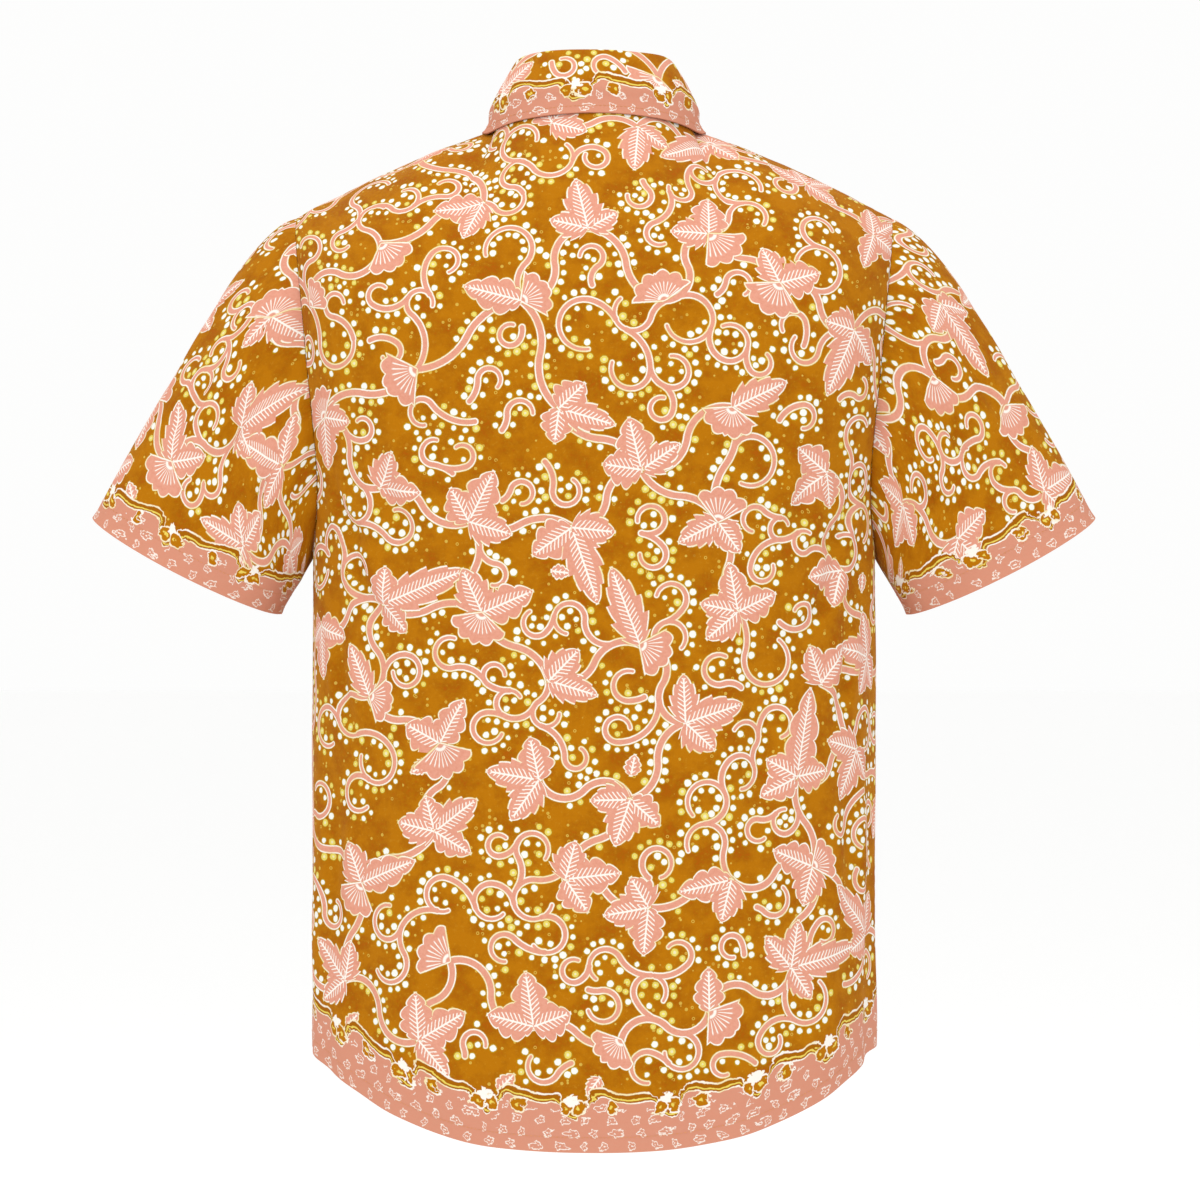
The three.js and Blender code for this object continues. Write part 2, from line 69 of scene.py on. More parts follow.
collarCut = {
    "topHalfWidth": 0.0605, "topHalfDepth": 0.051, "topMiddleY": 0.003, "topBackZ": 0.0815,
    "topFrontZ": -0.0115, "topDrop": 3.0,
    "fallHalfWidth": 0.084, "fallBackY": 0.074, "fallBackZ": 0.037, "fallSideY": 0.018, "fallSideZ": 0.029,
    "roll": 0.0029, "foldUp": 0.0012, "belly": 0.0025, "room": 0.0021, "endTurn": math.radians(167),
    "pointX": 0.056, "pointY": -0.096, "pointZ": -0.078,
}


def mix(a, b, t):
    return a + (b - a) * t


def smooth(t):
    t = np.clip(t, 0, 1)
    return t * t * (3 - 2 * t)


def stack(x, y, z):
    return np.stack(np.broadcast_arrays(x, y, z), -1)


def unit(v):
    return v / np.maximum(np.linalg.norm(v, axis=-1, keepdims=True), 1e-12)


def hermite(p0, m0, p1, m1, t):
    return (p0 * (2 * t**3 - 3 * t**2 + 1) + m0 * (t**3 - 2 * t**2 + t)
            + p1 * (3 * t**2 - 2 * t**3) + m1 * (t**3 - t**2))


def profileY(side, z):
    rows = np.array(profileRows)
    heights, values = rows[:, 0], rows[:, side]
    slopes = np.gradient(values, heights)
    z = np.clip(z, heights[0], heights[-1])
    k = np.clip(np.searchsorted(heights, z) - 1, 0, len(heights) - 2)
    span = heights[k + 1] - heights[k]
    t = (z - heights[k]) / span
    return hermite(values[k], slopes[k] * span, values[k + 1], slopes[k + 1] * span, t)


underarmZ = cut["armMiddleZ"] - cut["armHalfHeight"]


def sectionShape(panel, z):
    up = (z - underarmZ) / (cut["tipZ"] - underarmZ)
    power = mix(cut["squareness"], panel["squareness"], smooth(up / cut["armFullBy"]))
    halfWidth = mix(cut["chestHalfWidth"], cut["tipX"], smooth(up))
    return power, halfWidth, profileY(panel["profile"], z) - cut["sideY"]


def sectionX(panel, z, y):
    power, halfWidth, depth = sectionShape(panel, z)
    return halfWidth * np.maximum(0, 1 - np.abs((y - cut["sideY"]) / depth) ** power) ** (1 / power)


def sectionY(panel, z, x):
    power, halfWidth, depth = sectionShape(panel, z)
    return cut["sideY"] + depth * np.maximum(0, 1 - np.abs(x / halfWidth) ** power) ** (1 / power)


def neckSeam(turn):
    forward = ((1 - np.cos(turn)) / 2) ** cut["neckDrop"]
    return stack(cut["neckHalfWidth"] * np.sin(turn),
                 cut["neckMiddleY"] + cut["neckHalfDepth"] * np.cos(turn),
                 mix(cut["neckBackZ"], cut["neckFrontZ"], forward))


def shoulderSeam(t):
    x0, y0, z0 = neckSeam(cut["neckPoint"])
    return stack(mix(x0, cut["tipX"], t), mix(y0, cut["tipY"], smooth(t)),
                 mix(z0, cut["tipZ"], t) + cut["shoulderCrown"] * np.sin(math.pi * t))


def armholeSeam(panel, turn):
    y = cut["sideY"] + panel["way"] * panel["armY"] * np.sin(turn)
    z = cut["armMiddleZ"] - cut["armHalfHeight"] * np.cos(turn)
    return stack(sectionX(panel, z, y), y, z)


def topEdge(panel, c):
    neckColumns, columns = cut["neckColumns"], cut["columns"]
    if panel["way"] > 0:
        turn = cut["neckPoint"] * c / neckColumns
    else:
        bandTurn = math.pi - math.asin(cut["bandHalf"] / cut["neckHalfWidth"])
        turn = np.where(c < 1, mix(math.pi, bandTurn, c),
                        mix(bandTurn, cut["neckPoint"], (c - 1) / (neckColumns - 1)))
    shoulder = shoulderSeam(np.clip((c - neckColumns) / (columns - neckColumns), 0, 1))
    return np.where((c <= neckColumns)[..., None], neckSeam(turn), shoulder)


def across(panel, c, evenness, halfWidth):
    def spread(t):
        t = np.clip(t, 0, 1)
        return mix(np.sin(t * math.pi / 2) ** (2 / cut["squareness"]), t, evenness)
    if panel["way"] > 0:
        return spread(c / cut["columns"])
    inner = cut["bandHalf"] / halfWidth
    return np.where(c < 1, c * inner, mix(inner, 1, spread((c - 1) / (cut["columns"] - 1))))


def sectionPoint(panel, c, turn):
    edge = armholeSeam(panel, turn)
    evenness = 0.5 * smooth(turn / cut["yokeStart"])
    x = across(panel, c, evenness, edge[..., 0]) * edge[..., 0]
    y = np.where(c >= cut["columns"] - 1e-6, edge[..., 1], sectionY(panel, edge[..., 2], x))
    return stack(x, y, edge[..., 2])


def foldDepth(x, y, z):
    around = np.degrees(np.arctan2(y, x / 1.6)) % 360
    depth = np.zeros(np.broadcast(x, y, z).shape)
    for at, wide, deep, low, high in foldRows:
        off = np.abs((around - at + 540) % 360 - 180) / wide
        along = (z - low) / (high - low)
        wave = np.where(off < 1, np.cos(np.minimum(off, 1) * math.pi / 2) ** 2, 0)
        depth += deep * wave * smooth((1 - along) * 1.6)
    return depth


# side is 1 for the wearer's left; c runs 0 to 12 out from the centre, v 0 to 21 up from the hem
def bodyPoints(panel, c, v, side):
    c, v = np.broadcast_arrays(np.asarray(c, float), np.asarray(v, float))
    zero = np.zeros_like(c)
    chest = sectionPoint(panel, c, zero)
    outward = np.abs(chest[..., 0] / cut["chestHalfWidth"])
    hemZ = cut["hemSideZ"] - cut["hemDrop"] * (1 - outward ** cut["hemCurve"])
    z = mix(hemZ, underarmZ, np.minimum(v / cut["hemRows"], 1))
    atUnderarm = profileY(panel["profile"], np.array(underarmZ))
    share = np.abs((chest[..., 1] - cut["sideY"]) / (atUnderarm - cut["sideY"]))
    y = chest[..., 1] + (profileY(panel["profile"], z) - atUnderarm) * share
    x = side * chest[..., 0]
    out = unit(stack(x / cut["chestHalfWidth"]**2, (y - cut["sideY"]) / cut["chestHalfDepth"]**2, zero))
    low = stack(x, y, z) + out * foldDepth(x, y, z)[..., None]

    turn = math.pi * np.maximum(v - cut["hemRows"], 0) / cut["armRows"]
    start0 = cut["yokeStart"]
    middle = sectionPoint(panel, c, np.minimum(turn, start0))
    t = np.maximum(turn - start0, 0) / (math.pi - start0)
    start = sectionPoint(panel, c, zero + start0)
    below = sectionPoint(panel, c, zero + start0 - 0.05)
    end = topEdge(panel, c)
    rise = end - start
    reach = np.linalg.norm(rise, axis=-1, keepdims=True)
    overNeck = smooth((cut["neckColumns"] + 2 - c) / 4)
    arrive = stack(zero, mix(-panel["way"] * 1.25 * np.abs(rise[..., 1]), panel["arriveY"], overNeck),
                   mix(0.008, panel["arriveZ"], overNeck))
    last = np.full((1,), float(cut["columns"]))
    edgeStart = sectionPoint(panel, last, np.array([start0]))[0]
    edgeBelow = sectionPoint(panel, last, np.array([start0 - 0.05]))[0]
    tip = topEdge(panel, last)[0]
    edgeLeave = unit(edgeStart - edgeBelow) * np.linalg.norm(tip - edgeStart)
    edgeArrive = np.array([0, -panel["way"] * 1.25 * abs(tip[1] - edgeStart[1]), 0.008])
    correction = armholeSeam(panel, turn) - hermite(edgeStart, edgeLeave, tip, edgeArrive, t[..., None])
    high = hermite(start, unit(start - below) * reach, end, arrive, t[..., None])
    high = high + correction * ((c / cut["columns"]) ** 5)[..., None]
    upper = np.where((turn <= start0)[..., None], middle, high) * np.array([side, 1, 1])
    return np.where((v <= cut["hemRows"])[..., None], low, upper)


# turn runs 0 to 2 pi from the underarm up the back; i runs 0 to 1 down the sleeve
def sleevePoints(turn, i, side):
    turn, i = np.broadcast_arrays(np.asarray(turn, float), np.asarray(i, float))
    start = np.where((turn <= math.pi)[..., None], armholeSeam(backCut, turn),
                     armholeSeam(frontCut, 2 * math.pi - turn))
    up = (1 - np.cos(turn)) / 2
    half = sleeveCut["half"] * np.cos(turn)
    end = stack(sleeveCut["x"] - half * math.cos(sleeveCut["rise"]),
                sleeveCut["y"] + sleeveCut["depth"] * np.sin(turn),
                sleeveCut["z"] - sleeveCut["backDrop"] * np.abs(np.sin(turn))
                - half * math.sin(sleeveCut["rise"]))
    chord = np.linalg.norm(end - start, axis=-1)
    dip = np.radians(mix(sleeveCut["leaveUnder"], sleeveCut["leaveTop"], up**1.5))
    leavePull, arrivePull = (chord * mix(1, 0.52, up))[..., None], (chord * 0.95)[..., None]
    leave = stack(np.cos(dip), 0.06 * np.sin(turn), -np.sin(dip)) * leavePull
    arrive = stack(math.cos(sleeveCut["arrive"]), 0, -math.sin(sleeveCut["arrive"])) * arrivePull
    return hermite(start, leave, end, arrive, i[..., None]) * np.array([side, 1, 1])


def standTop(turn):
    forward = ((1 - np.cos(turn)) / 2) ** collarCut["topDrop"]
    return stack(collarCut["topHalfWidth"] * np.sin(turn),
                 collarCut["topMiddleY"] + collarCut["topHalfDepth"] * np.cos(turn),
                 mix(collarCut["topBackZ"], collarCut["topFrontZ"], forward))


# creases: soft troughs listed one by one, each a short bent line on the cloth
# place along and up each panel in metres, then length, turn in degrees, half width, depth, bend
creases = {
    "back": [
        (0.172, -0.020, 0.130, 64, 0.0095, 0.0042, 0.20), (0.188, 0.030, 0.105, 52, 0.0080, 0.0036, 0.25),
        (0.150, 0.045, 0.120, 72, 0.0100, 0.0030, 0.18), (0.196, -0.085, 0.120, 80, 0.0085, 0.0034, 0.10),
        (-0.170, -0.015, 0.135, 116, 0.0095, 0.0044, -0.20),
        (-0.190, 0.035, 0.100, 128, 0.0080, 0.0036, -0.25),
        (-0.148, 0.050, 0.125, 108, 0.0100, 0.0031, -0.16),
        (-0.197, -0.090, 0.125, 100, 0.0085, 0.0035, -0.10),
        (0.120, -0.150, 0.210, 86, 0.0160, 0.0030, 0.06), (-0.112, -0.165, 0.220, 94, 0.0170, 0.0031, -0.06),
        (0.045, -0.235, 0.190, 91, 0.0180, 0.0022, 0.05), (-0.040, -0.250, 0.180, 88, 0.0170, 0.0021, -0.04),
        (0.205, -0.215, 0.150, 93, 0.0110, 0.0030, 0.05), (-0.207, -0.225, 0.150, 87, 0.0110, 0.0031, -0.05),
        (0.085, 0.175, 0.110, 28, 0.0120, 0.0020, -0.12), (-0.088, 0.172, 0.115, 152, 0.0120, 0.0021, 0.12),
        (0.010, 0.120, 0.150, 4, 0.0150, 0.0014, 0.05), (0.135, 0.110, 0.100, 60, 0.0110, 0.0022, 0.12),
        (-0.132, 0.105, 0.105, 120, 0.0110, 0.0023, -0.12)],
    "front": [
        (0.170, -0.015, 0.125, 62, 0.0090, 0.0040, 0.20), (0.186, 0.035, 0.100, 50, 0.0080, 0.0036, 0.25),
        (0.150, 0.055, 0.120, 70, 0.0100, 0.0030, 0.16), (0.195, -0.095, 0.120, 82, 0.0085, 0.0032, 0.10),
        (0.110, -0.160, 0.210, 88, 0.0160, 0.0028, 0.06), (0.062, -0.240, 0.180, 92, 0.0150, 0.0022, -0.05),
        (0.204, -0.215, 0.150, 92, 0.0110, 0.0030, 0.05), (0.120, 0.130, 0.110, 55, 0.0110, 0.0022, 0.12),
        (0.080, 0.020, 0.140, 76, 0.0140, 0.0018, 0.10)],
    "sleeve": [
        (0.000, 0.150, 0.110, 88, 0.0110, 0.0022, 0.06), (0.050, 0.120, 0.120, 74, 0.0090, 0.0030, 0.14),
        (-0.050, 0.118, 0.120, 106, 0.0090, 0.0030, -0.14), (0.100, 0.110, 0.120, 62, 0.0080, 0.0036, 0.20),
        (-0.100, 0.108, 0.120, 118, 0.0080, 0.0036, -0.20), (0.150, 0.085, 0.100, 48, 0.0075, 0.0038, 0.22),
        (-0.150, 0.083, 0.100, 132, 0.0075, 0.0038, -0.22), (0.078, 0.045, 0.080, 82, 0.0100, 0.0022, 0.08),
        (-0.080, 0.047, 0.080, 98, 0.0100, 0.0022, -0.08)],
}


def creaseDepth(kind, s, t, mirror=1):
    depth = np.zeros_like(s)
    for at, up, length, turn, wide, deep, bend in creases[kind]:
        angle = math.radians(turn)
        dx, dy = s * mirror - at, t - up
        along = (dx * math.cos(angle) + dy * math.sin(angle)) / (length / 2)
        off = -dx * math.sin(angle) + dy * math.cos(angle) - bend * length * (along**2 - 0.4)
        width = wide * (0.75 + 0.35 * along**2)
        ridge = 0.55 * np.exp(-((np.abs(off) - 1.9 * width) / (0.9 * width)) ** 2)
        fade = np.where(np.abs(along) < 1, np.cos(np.minimum(np.abs(along), 1) * math.pi / 2) ** 2, 0)
        depth += deep * fade * (ridge - np.exp(-(off / width) ** 2))
    return depth


def softRipple(s, t, seed, size):        # a slow uneven wave, so that no stretch of cloth is dead flat
    rng = np.random.default_rng(seed)
    wave = np.zeros_like(s)
    for _ in range(7):
        angle = rng.uniform(-0.6, 0.6)
        length = rng.uniform(0.035, 0.13)
        wave += np.sin((s * math.cos(angle) + t * math.sin(angle)) * 2 * math.pi / length
                       + rng.uniform(0, 6.28)) * length
    return wave * size / 0.3


# cloth pieces as fine grids
def gridNormals(p, ring):
    if ring:
        du = np.roll(p, -1, 1) - np.roll(p, 1, 1)
    else:
        du = np.gradient(p, axis=1)
    return unit(np.cross(du, np.gradient(p, axis=0)))


def flatPlan(p, startRow):               # where each point lies on the flat cloth
    step = np.linalg.norm(np.diff(p, axis=1), axis=-1)
    s = np.concatenate([np.zeros((len(p), 1)), np.cumsum(step, 1)], 1)
    du = unit(np.gradient(p, axis=1))
    dv = np.diff(p, axis=0)
    sideways = (dv * (du[1:] + du[:-1]) / 2).sum(-1)
    rise = np.sqrt(np.maximum((dv**2).sum(-1) - sideways**2, 1e-12))
    t = np.concatenate([np.zeros((1, p.shape[1])), np.cumsum(rise, 0)], 0)
    return s, t - t[startRow]


def addObject(name, data):
    thing = bpy.data.objects.new(name, data)
    bpy.context.scene.collection.objects.link(thing)
    return thing


def clothMesh(name, p, ring, corners, thick):
    normals = gridNormals(p, ring)
    rows, columns = p.shape[:2]
    inner = p - normals * thick
    count = rows * columns
    index = np.arange(count).reshape(rows, columns)
    a, b = index[:-1, :-1], index[:-1, 1:]
    d, c = index[1:, :-1], index[1:, 1:]
    if ring:
        a, b = index[:-1], np.roll(index[:-1], -1, 1)
        d, c = index[1:], np.roll(index[1:], -1, 1)
    ring4 = np.stack([a, b, c, d], -1)
    body = ring4.reshape(-1, 4)
    cellAt = np.arange(len(body)).reshape(ring4.shape[:2])
    faces = [body, body[:, [0, 3, 2, 1]] + count]
    picks = [np.tile([0, 1, 2, 3], (len(body), 1)), np.tile([0, 3, 2, 1], (len(body), 1))]
    cells = [np.arange(len(body))] * 2
    rims = [(ring4[0], cellAt[0], 0, 1), (ring4[-1], cellAt[-1], 2, 3)]
    if not ring:
        rims += [(ring4[:, 0], cellAt[:, 0], 3, 0), (ring4[:, -1], cellAt[:, -1], 1, 2)]
    for edgeCells, at, e0, e1 in rims:
        v0, v1 = edgeCells[:, e0], edgeCells[:, e1]
        faces.append(np.stack([v1, v0, v0 + count, v1 + count], -1))
        picks.append(np.tile([e1, e0, e0, e1], (len(v0), 1)))
        cells.append(at)
    faces, picks, cells = (np.concatenate(x) for x in (faces, picks, cells))
    mesh = bpy.data.meshes.new("cloth_" + name)
    mesh.vertices.add(2 * count)
    mesh.vertices.foreach_set("co", np.concatenate([p.reshape(-1, 3), inner.reshape(-1, 3)]).ravel())
    mesh.loops.add(faces.size)
    mesh.loops.foreach_set("vertex_index", faces.ravel().astype(np.int32))
    mesh.polygons.add(len(faces))
    mesh.polygons.foreach_set("loop_start", np.arange(0, faces.size, 4, dtype=np.int32))
    mesh.update(calc_edges=True)
    for key, values in corners.items():
        data = values[cells[:, None], picks]
        attribute = mesh.attributes.new(key, "FLOAT_VECTOR", "CORNER")
        attribute.data.foreach_set("vector", data.astype(np.float32).ravel())
    addBakeMap(mesh, rows, columns, ring, len(body), faces, picks, cells)
    mesh.polygons.foreach_set("use_smooth", np.ones(len(faces), bool))
    mesh.set_sharp_from_angle(angle=math.radians(48))
    return addObject("cloth_" + name, mesh)


def addBakeMap(mesh, rows, columns, ring, bodyCount, faces, picks, cells):
    across = columns if ring else columns - 1
    u0 = (cells % across) / across
    v0 = (cells // across) / (rows - 1)
    u = u0[:, None] + np.isin(picks, (1, 2)) / across
    v = v0[:, None] + np.isin(picks, (2, 3)) / (rows - 1)
    number = np.arange(len(faces))
    uv = np.stack([0.005 + 0.485 * u, 0.005 + 0.955 * v], -1)
    uv[bodyCount:2 * bodyCount, :, 0] += 0.5
    rim = number >= 2 * bodyCount             # the thin edges lie in a strip at the top
    slot = (number[rim] - 2 * bodyCount) / max(1, rim.sum())
    wide = 0.98 / max(1, rim.sum())
    uv[rim, :, 0] = 0.01 + 0.98 * slot[:, None] + np.array([0.9, 0, 0, 0.9]) * wide
    uv[rim, :, 1] = np.array([0.972, 0.972, 0.99, 0.99])
    layer = mesh.uv_layers.new(name="OFBake")
    layer.data.foreach_set("uv", uv.astype(np.float32).ravel())


def cellCorners(grid, ring=False, wrap=0):
    if not ring:
        return np.stack([grid[:-1, :-1], grid[:-1, 1:], grid[1:, 1:], grid[1:, :-1]], -1).reshape(-1, 4)
    after = np.roll(grid, -1, 1)
    after[:, -1] = grid[:, 0] + wrap
    return np.stack([grid[:-1], after[:-1], after[1:], grid[1:]], -1).reshape(-1, 4)


# the print: vines, curls, beads, leaves and fans laid out on the flat cloth
printing = {
    "anchorGap": 0.063, "vineHalf": 0.0021, "curlHalf": 0.0017, "clear": 0.0112,
    "curlRadius": (0.0115, 0.0185), "smallRadius": (0.0075, 0.0115), "lead": 0.036, "longLead": 0.048,
    "beadOut": 0.0056, "beadGap": 0.0072, "beadRadius": (0.0017, 0.0026),
    "lobeLength": (0.028, 0.040), "lobeHalf": (0.0100, 0.0138), "fanShare": 0.36, "yellowShare": 0.26,
    "fanSize": (0.020, 0.028), "mostArcs": 4000, "fillGap": 0.010, "fillRoom": 0.009, "leafRoom": 0.0175,
    "stemRoom": 0.0050, "beadRoom": 0.0049, "besideLeaf": 0.0028,
}


def arcDistance(p, arcs):                # arcs are rows of centre x, y, radius, middle angle, half span
    dx = p[:, None, 0] - arcs[None, :, 0]
    dy = p[:, None, 1] - arcs[None, :, 1]
    c, s = np.cos(arcs[:, 3]), np.sin(arcs[:, 3])
    x, y = dx * c + dy * s, np.abs(dy * c - dx * s)
    radius, half = arcs[:, 2], arcs[:, 4]
    end = np.hypot(x - radius * np.cos(half), y - radius * np.sin(half))
    return np.where(np.arctan2(y, x) <= half, np.abs(np.hypot(x, y) - radius), end)


def arcPoints(arc, step, out=0.0):
    cx, cy, radius, middle, half = arc[:5]
    count = max(3, int(2 * half * radius / step) + 1)
    angle = np.linspace(middle - half, middle + half, count)
    r = radius + out
    return np.stack([cx + r * np.cos(angle), cy + r * np.sin(angle)], -1)


def arcFrom(start, heading, radius, span, way):   # way 1 curls to the left of the heading
    centre = start + radius * way * np.array([-math.sin(heading), math.cos(heading)])
    first = math.atan2(start[1] - centre[1], start[0] - centre[0])
    last = first + way * span
    return [centre[0], centre[1], radius, (first + last) / 2, span / 2], first, last


def toward(angle):
    return np.array([math.cos(angle), math.sin(angle)])


class PrintPlan:
    def __init__(self, seed, low, high, allowed):
        self.rng = np.random.default_rng(seed)
        self.low, self.high, self.allowed = np.array(low), np.array(high), allowed
        self.arcs, self.leaves, self.beads = [], [], []
        self.taken = np.zeros((80000, 2))
        self.takenCount = 0

    def inside(self, p):
        p = np.atleast_2d(p)
        return ((p > self.low) & (p < self.high)).all(1) & self.allowed(p[:, 0], p[:, 1])

    def take(self, points):
        n = len(points)
        self.taken[self.takenCount:self.takenCount + n] = points
        self.takenCount += n

    def free(self, points, room, start=None, around=0.0):
        taken = self.taken[:self.takenCount]
        near = taken[(np.abs(taken - points.mean(0)) < 0.055).all(1)]
        if start is not None:            # the stem that a curl leaves doesn't count near its start
            near = near[np.linalg.norm(near - start, axis=1) > around]
        if not len(near):
            return True
        return np.linalg.norm(points[:, None] - near[None], axis=-1).min() > room

    def addArc(self, arc, half, taper):
        self.arcs.append(arc + [half, taper])
        self.take(arcPoints(arc, 0.004))

    def scatter(self, gap, tries):
        found = np.zeros((0, 2))
        for _ in range(tries):
            p = self.rng.uniform(self.low, self.high)
            if self.inside(p)[0] and (not len(found) or np.linalg.norm(found - p, axis=1).min() > gap):
                found = np.vstack([found, p])
        return found

    def addCluster(self, at):
        rng = self.rng
        heading = rng.uniform(0, 2 * math.pi)
        if rng.random() < printing["fanShare"]:
            size = rng.uniform(*printing["fanSize"])
            self.leaves.append([*at, heading, size, size, 1, rng.random()])
            lobes = [heading + math.pi - 0.8, heading + math.pi + 0.8][:rng.integers(0, 3)]
        else:
            lobes = heading + np.array([0, 1.15, -1.25, 2.2])[:rng.choice([2, 3, 3, 3, 3, 4])]
        big = 1.6 if rng.random() < 0.16 else 1.0
        for angle in lobes:
            length = rng.uniform(*printing["lobeLength"]) * big
            length *= 1.12 if angle == lobes[0] else 0.88
            half = rng.uniform(*printing["lobeHalf"]) * (0.8 + 0.2 * big)
            self.leaves.append([*at, angle + rng.uniform(-0.12, 0.12), length, half, 0, rng.random()])
            big = 1.0
        for x, y, angle, length, half, kind, _ in self.leaves[-len(lobes) - 1:]:
            if abs(x - at[0]) + abs(y - at[1]) < 1e-9:
                along = np.linspace(0, length, 7)[:, None]
                self.take(np.array([x, y]) + along * toward(angle))

    def joinAnchors(self, anchors):
        linked, left = [0], set(range(1, len(anchors)))
        while left:
            rest = np.array(sorted(left))
            gaps = np.linalg.norm(anchors[rest][:, None] - anchors[linked][None], axis=-1)
            i, j = np.unravel_index(gaps.argmin(), gaps.shape)
            self.addVine(anchors[linked[j]], anchors[rest[i]])
            linked.append(rest[i])
            left.remove(rest[i])
        for a in anchors:                # a few more stems, so that the vines also meet
            gaps = np.linalg.norm(anchors - a, axis=1)
            other = anchors[np.argsort(gaps)[2]]
            middle = (a + other) / 2
            if self.rng.random() < 0.5 and self.free(np.array([middle]), 0.016):
                self.addVine(a, other)

    def addVine(self, a, b):             # an S of two arcs
        way = self.rng.choice([-1, 1])
        half = np.linalg.norm(b - a) / 2
        sag = half * self.rng.uniform(0.12, 0.32)
        radius = (half * half / 4 + sag * sag) / (2 * sag)
        span = 2 * math.asin(min(1, half / (2 * radius)))
        heading = math.atan2(b[1] - a[1], b[0] - a[0])
        arc, _, _ = arcFrom(a, heading - way * span / 2, radius, span, way)
        self.addArc(arc, printing["vineHalf"], 0)
        arc, _, _ = arcFrom((a + b) / 2, heading + way * span / 2, radius, span, -way)
        self.addArc(arc, printing["vineHalf"], 0)

    def growCurls(self, radii="curlRadius", reach="lead"):
        rng, index = self.rng, 0
        queue = list(range(len(self.arcs)))
        while index < len(queue) and len(self.arcs) < printing["mostArcs"]:
            cx, cy, radius, middle, half = self.arcs[queue[index]][:5]
            index += 1
            for _ in range(70 if radius > 0.02 else 40):
                angle = middle + rng.uniform(-0.9, 0.95) * half
                start = np.array([cx, cy]) + radius * toward(angle)
                facing = rng.choice([-1, 1])
                heading = angle + facing * math.pi / 2 + rng.uniform(-0.15, 0.15)
                if self.addCurl(start, heading, -facing if rng.random() < 0.75 else facing, radii, reach):
                    queue += [len(self.arcs) - 1, len(self.arcs) - 2]

    def addCurl(self, start, heading, way, radii="curlRadius", reach="lead"):
        rng = self.rng
        lead = rng.uniform(0.4, 1.5)
        wide = rng.uniform(0.012, 0.034)
        lead = min(lead * (1.3 if reach == "longLead" else 1), printing[reach] / wide)
        bend = -way if rng.random() < 0.7 else way
        first, _, last = arcFrom(start, heading, wide, lead, bend)
        tip = np.array([first[0], first[1]]) + wide * toward(last)
        radius = rng.uniform(*printing[radii])
        second, _, _ = arcFrom(tip, heading + bend * lead, radius, rng.uniform(3.2, 4.6), way)
        body = arcPoints(second, 0.003)
        lane = arcPoints(first, 0.003)
        if not self.inside(body).all() or not self.free(body, printing["clear"], start, 0.013):
            return False
        if not self.free(body, 0.0065) or not self.free(lane, 0.0095, start, 0.012):
            return False
        self.addArc(first, printing["curlHalf"], 0)
        self.addArc(second, printing["curlHalf"], way)
        return True

    def fillGaps(self):                  # single scrolls and small leaves where the vines left room
        rng = self.rng
        self.growCurls("smallRadius", "longLead")
        for p in self.scatter(printing["fillGap"], 9000):
            for _ in range(10 if self.free(p[None], printing["fillRoom"]) else 0):
                if self.addCurl(p, rng.uniform(0, 6.28), rng.choice([-1, 1]), "smallRadius"):
                    break
        self.growCurls("smallRadius")
        for p in self.scatter(printing["fillGap"], 6000):
            if self.free(p[None], printing["leafRoom"]):
                angle = rng.uniform(0, 6.28)
                size = rng.uniform(0.012, 0.017)
                base = p - size / 2 * toward(angle)
                self.leaves.append([*base, angle, size, size * 0.36, 0, rng.random()])
                self.take(np.linspace(0, size, 4)[:, None] * toward(angle) + base)

    def stringBeads(self):
        rng = self.rng
        arcs = np.array([arc[:5] for arc in self.arcs])
        leaves = np.array(self.leaves)
        found = []
        for arc in self.arcs:
            plain = arc[5] > 0.0023 and rng.random() < 0.18
            for out in (-printing["beadOut"], printing["beadOut"]):
                if plain or arc[2] + out < 0.0028:
                    continue
                gap = printing["beadGap"] * arc[2] / (arc[2] + out)
                points = arcPoints(arc, gap * rng.uniform(0.92, 1.08), out)
                found += [p + rng.normal(0, 0.0003, 2) for p in points if rng.random() > 0.05]
        found = np.array(found)
        found = found[self.inside(found)]
        clear = np.concatenate([arcDistance(part, arcs).min(1) for part in np.array_split(found, 40)])
        found = found[clear > printing["stemRoom"]]
        ahead = np.stack([np.cos(leaves[:, 2]), np.sin(leaves[:, 2])], -1)
        gapTo = found[:, None] - leaves[None, :, :2]
        u = (gapTo * ahead).sum(-1)
        v = np.linalg.norm(gapTo - u[..., None] * ahead, axis=-1)
        covered = (u > -0.003) & (u < leaves[:, 3] + 0.003) & (v < leaves[:, 4] + printing["besideLeaf"])
        fan = (leaves[:, 5] == 1) & (np.hypot(u, v) < leaves[:, 3] + printing["besideLeaf"])
        found = found[~(covered | fan).any(1)]
        kept = np.zeros((0, 2))
        for p in found:
            near = kept[-4000:]
            if not len(near) or np.linalg.norm(near - p, axis=1).min() > printing["beadRoom"]:
                kept = np.vstack([kept, p])
        radius = rng.uniform(*printing["beadRadius"], len(kept))
        patch = np.sin(kept[:, 0] * 23 + 1.3) + np.sin(kept[:, 1] * 19 + kept[:, 0] * 9)
        yellow = rng.random(len(kept)) < printing["yellowShare"] * np.clip(0.75 + patch, 0.3, 2.4)
        self.beads = np.column_stack([kept, radius, yellow])

    def make(self):
        anchors = self.scatter(printing["anchorGap"], 3000)
        for at in anchors:
            self.addCluster(at)
        self.joinAnchors(anchors)
        self.growCurls()
        self.fillGaps()
        self.stringBeads()
        return self


def nearestTwo(distance):
    if distance.shape[1] < 2:
        return np.zeros((len(distance), 2), int)
    return np.argsort(distance, 1)[:, :2] if distance.shape[1] < 8 else partTwo(distance)


def partTwo(distance):
    two = np.argpartition(distance, 1, axis=1)[:, :2]
    order = np.take_along_axis(distance, two, 1).argsort(1)
    return np.take_along_axis(two, order, 1)


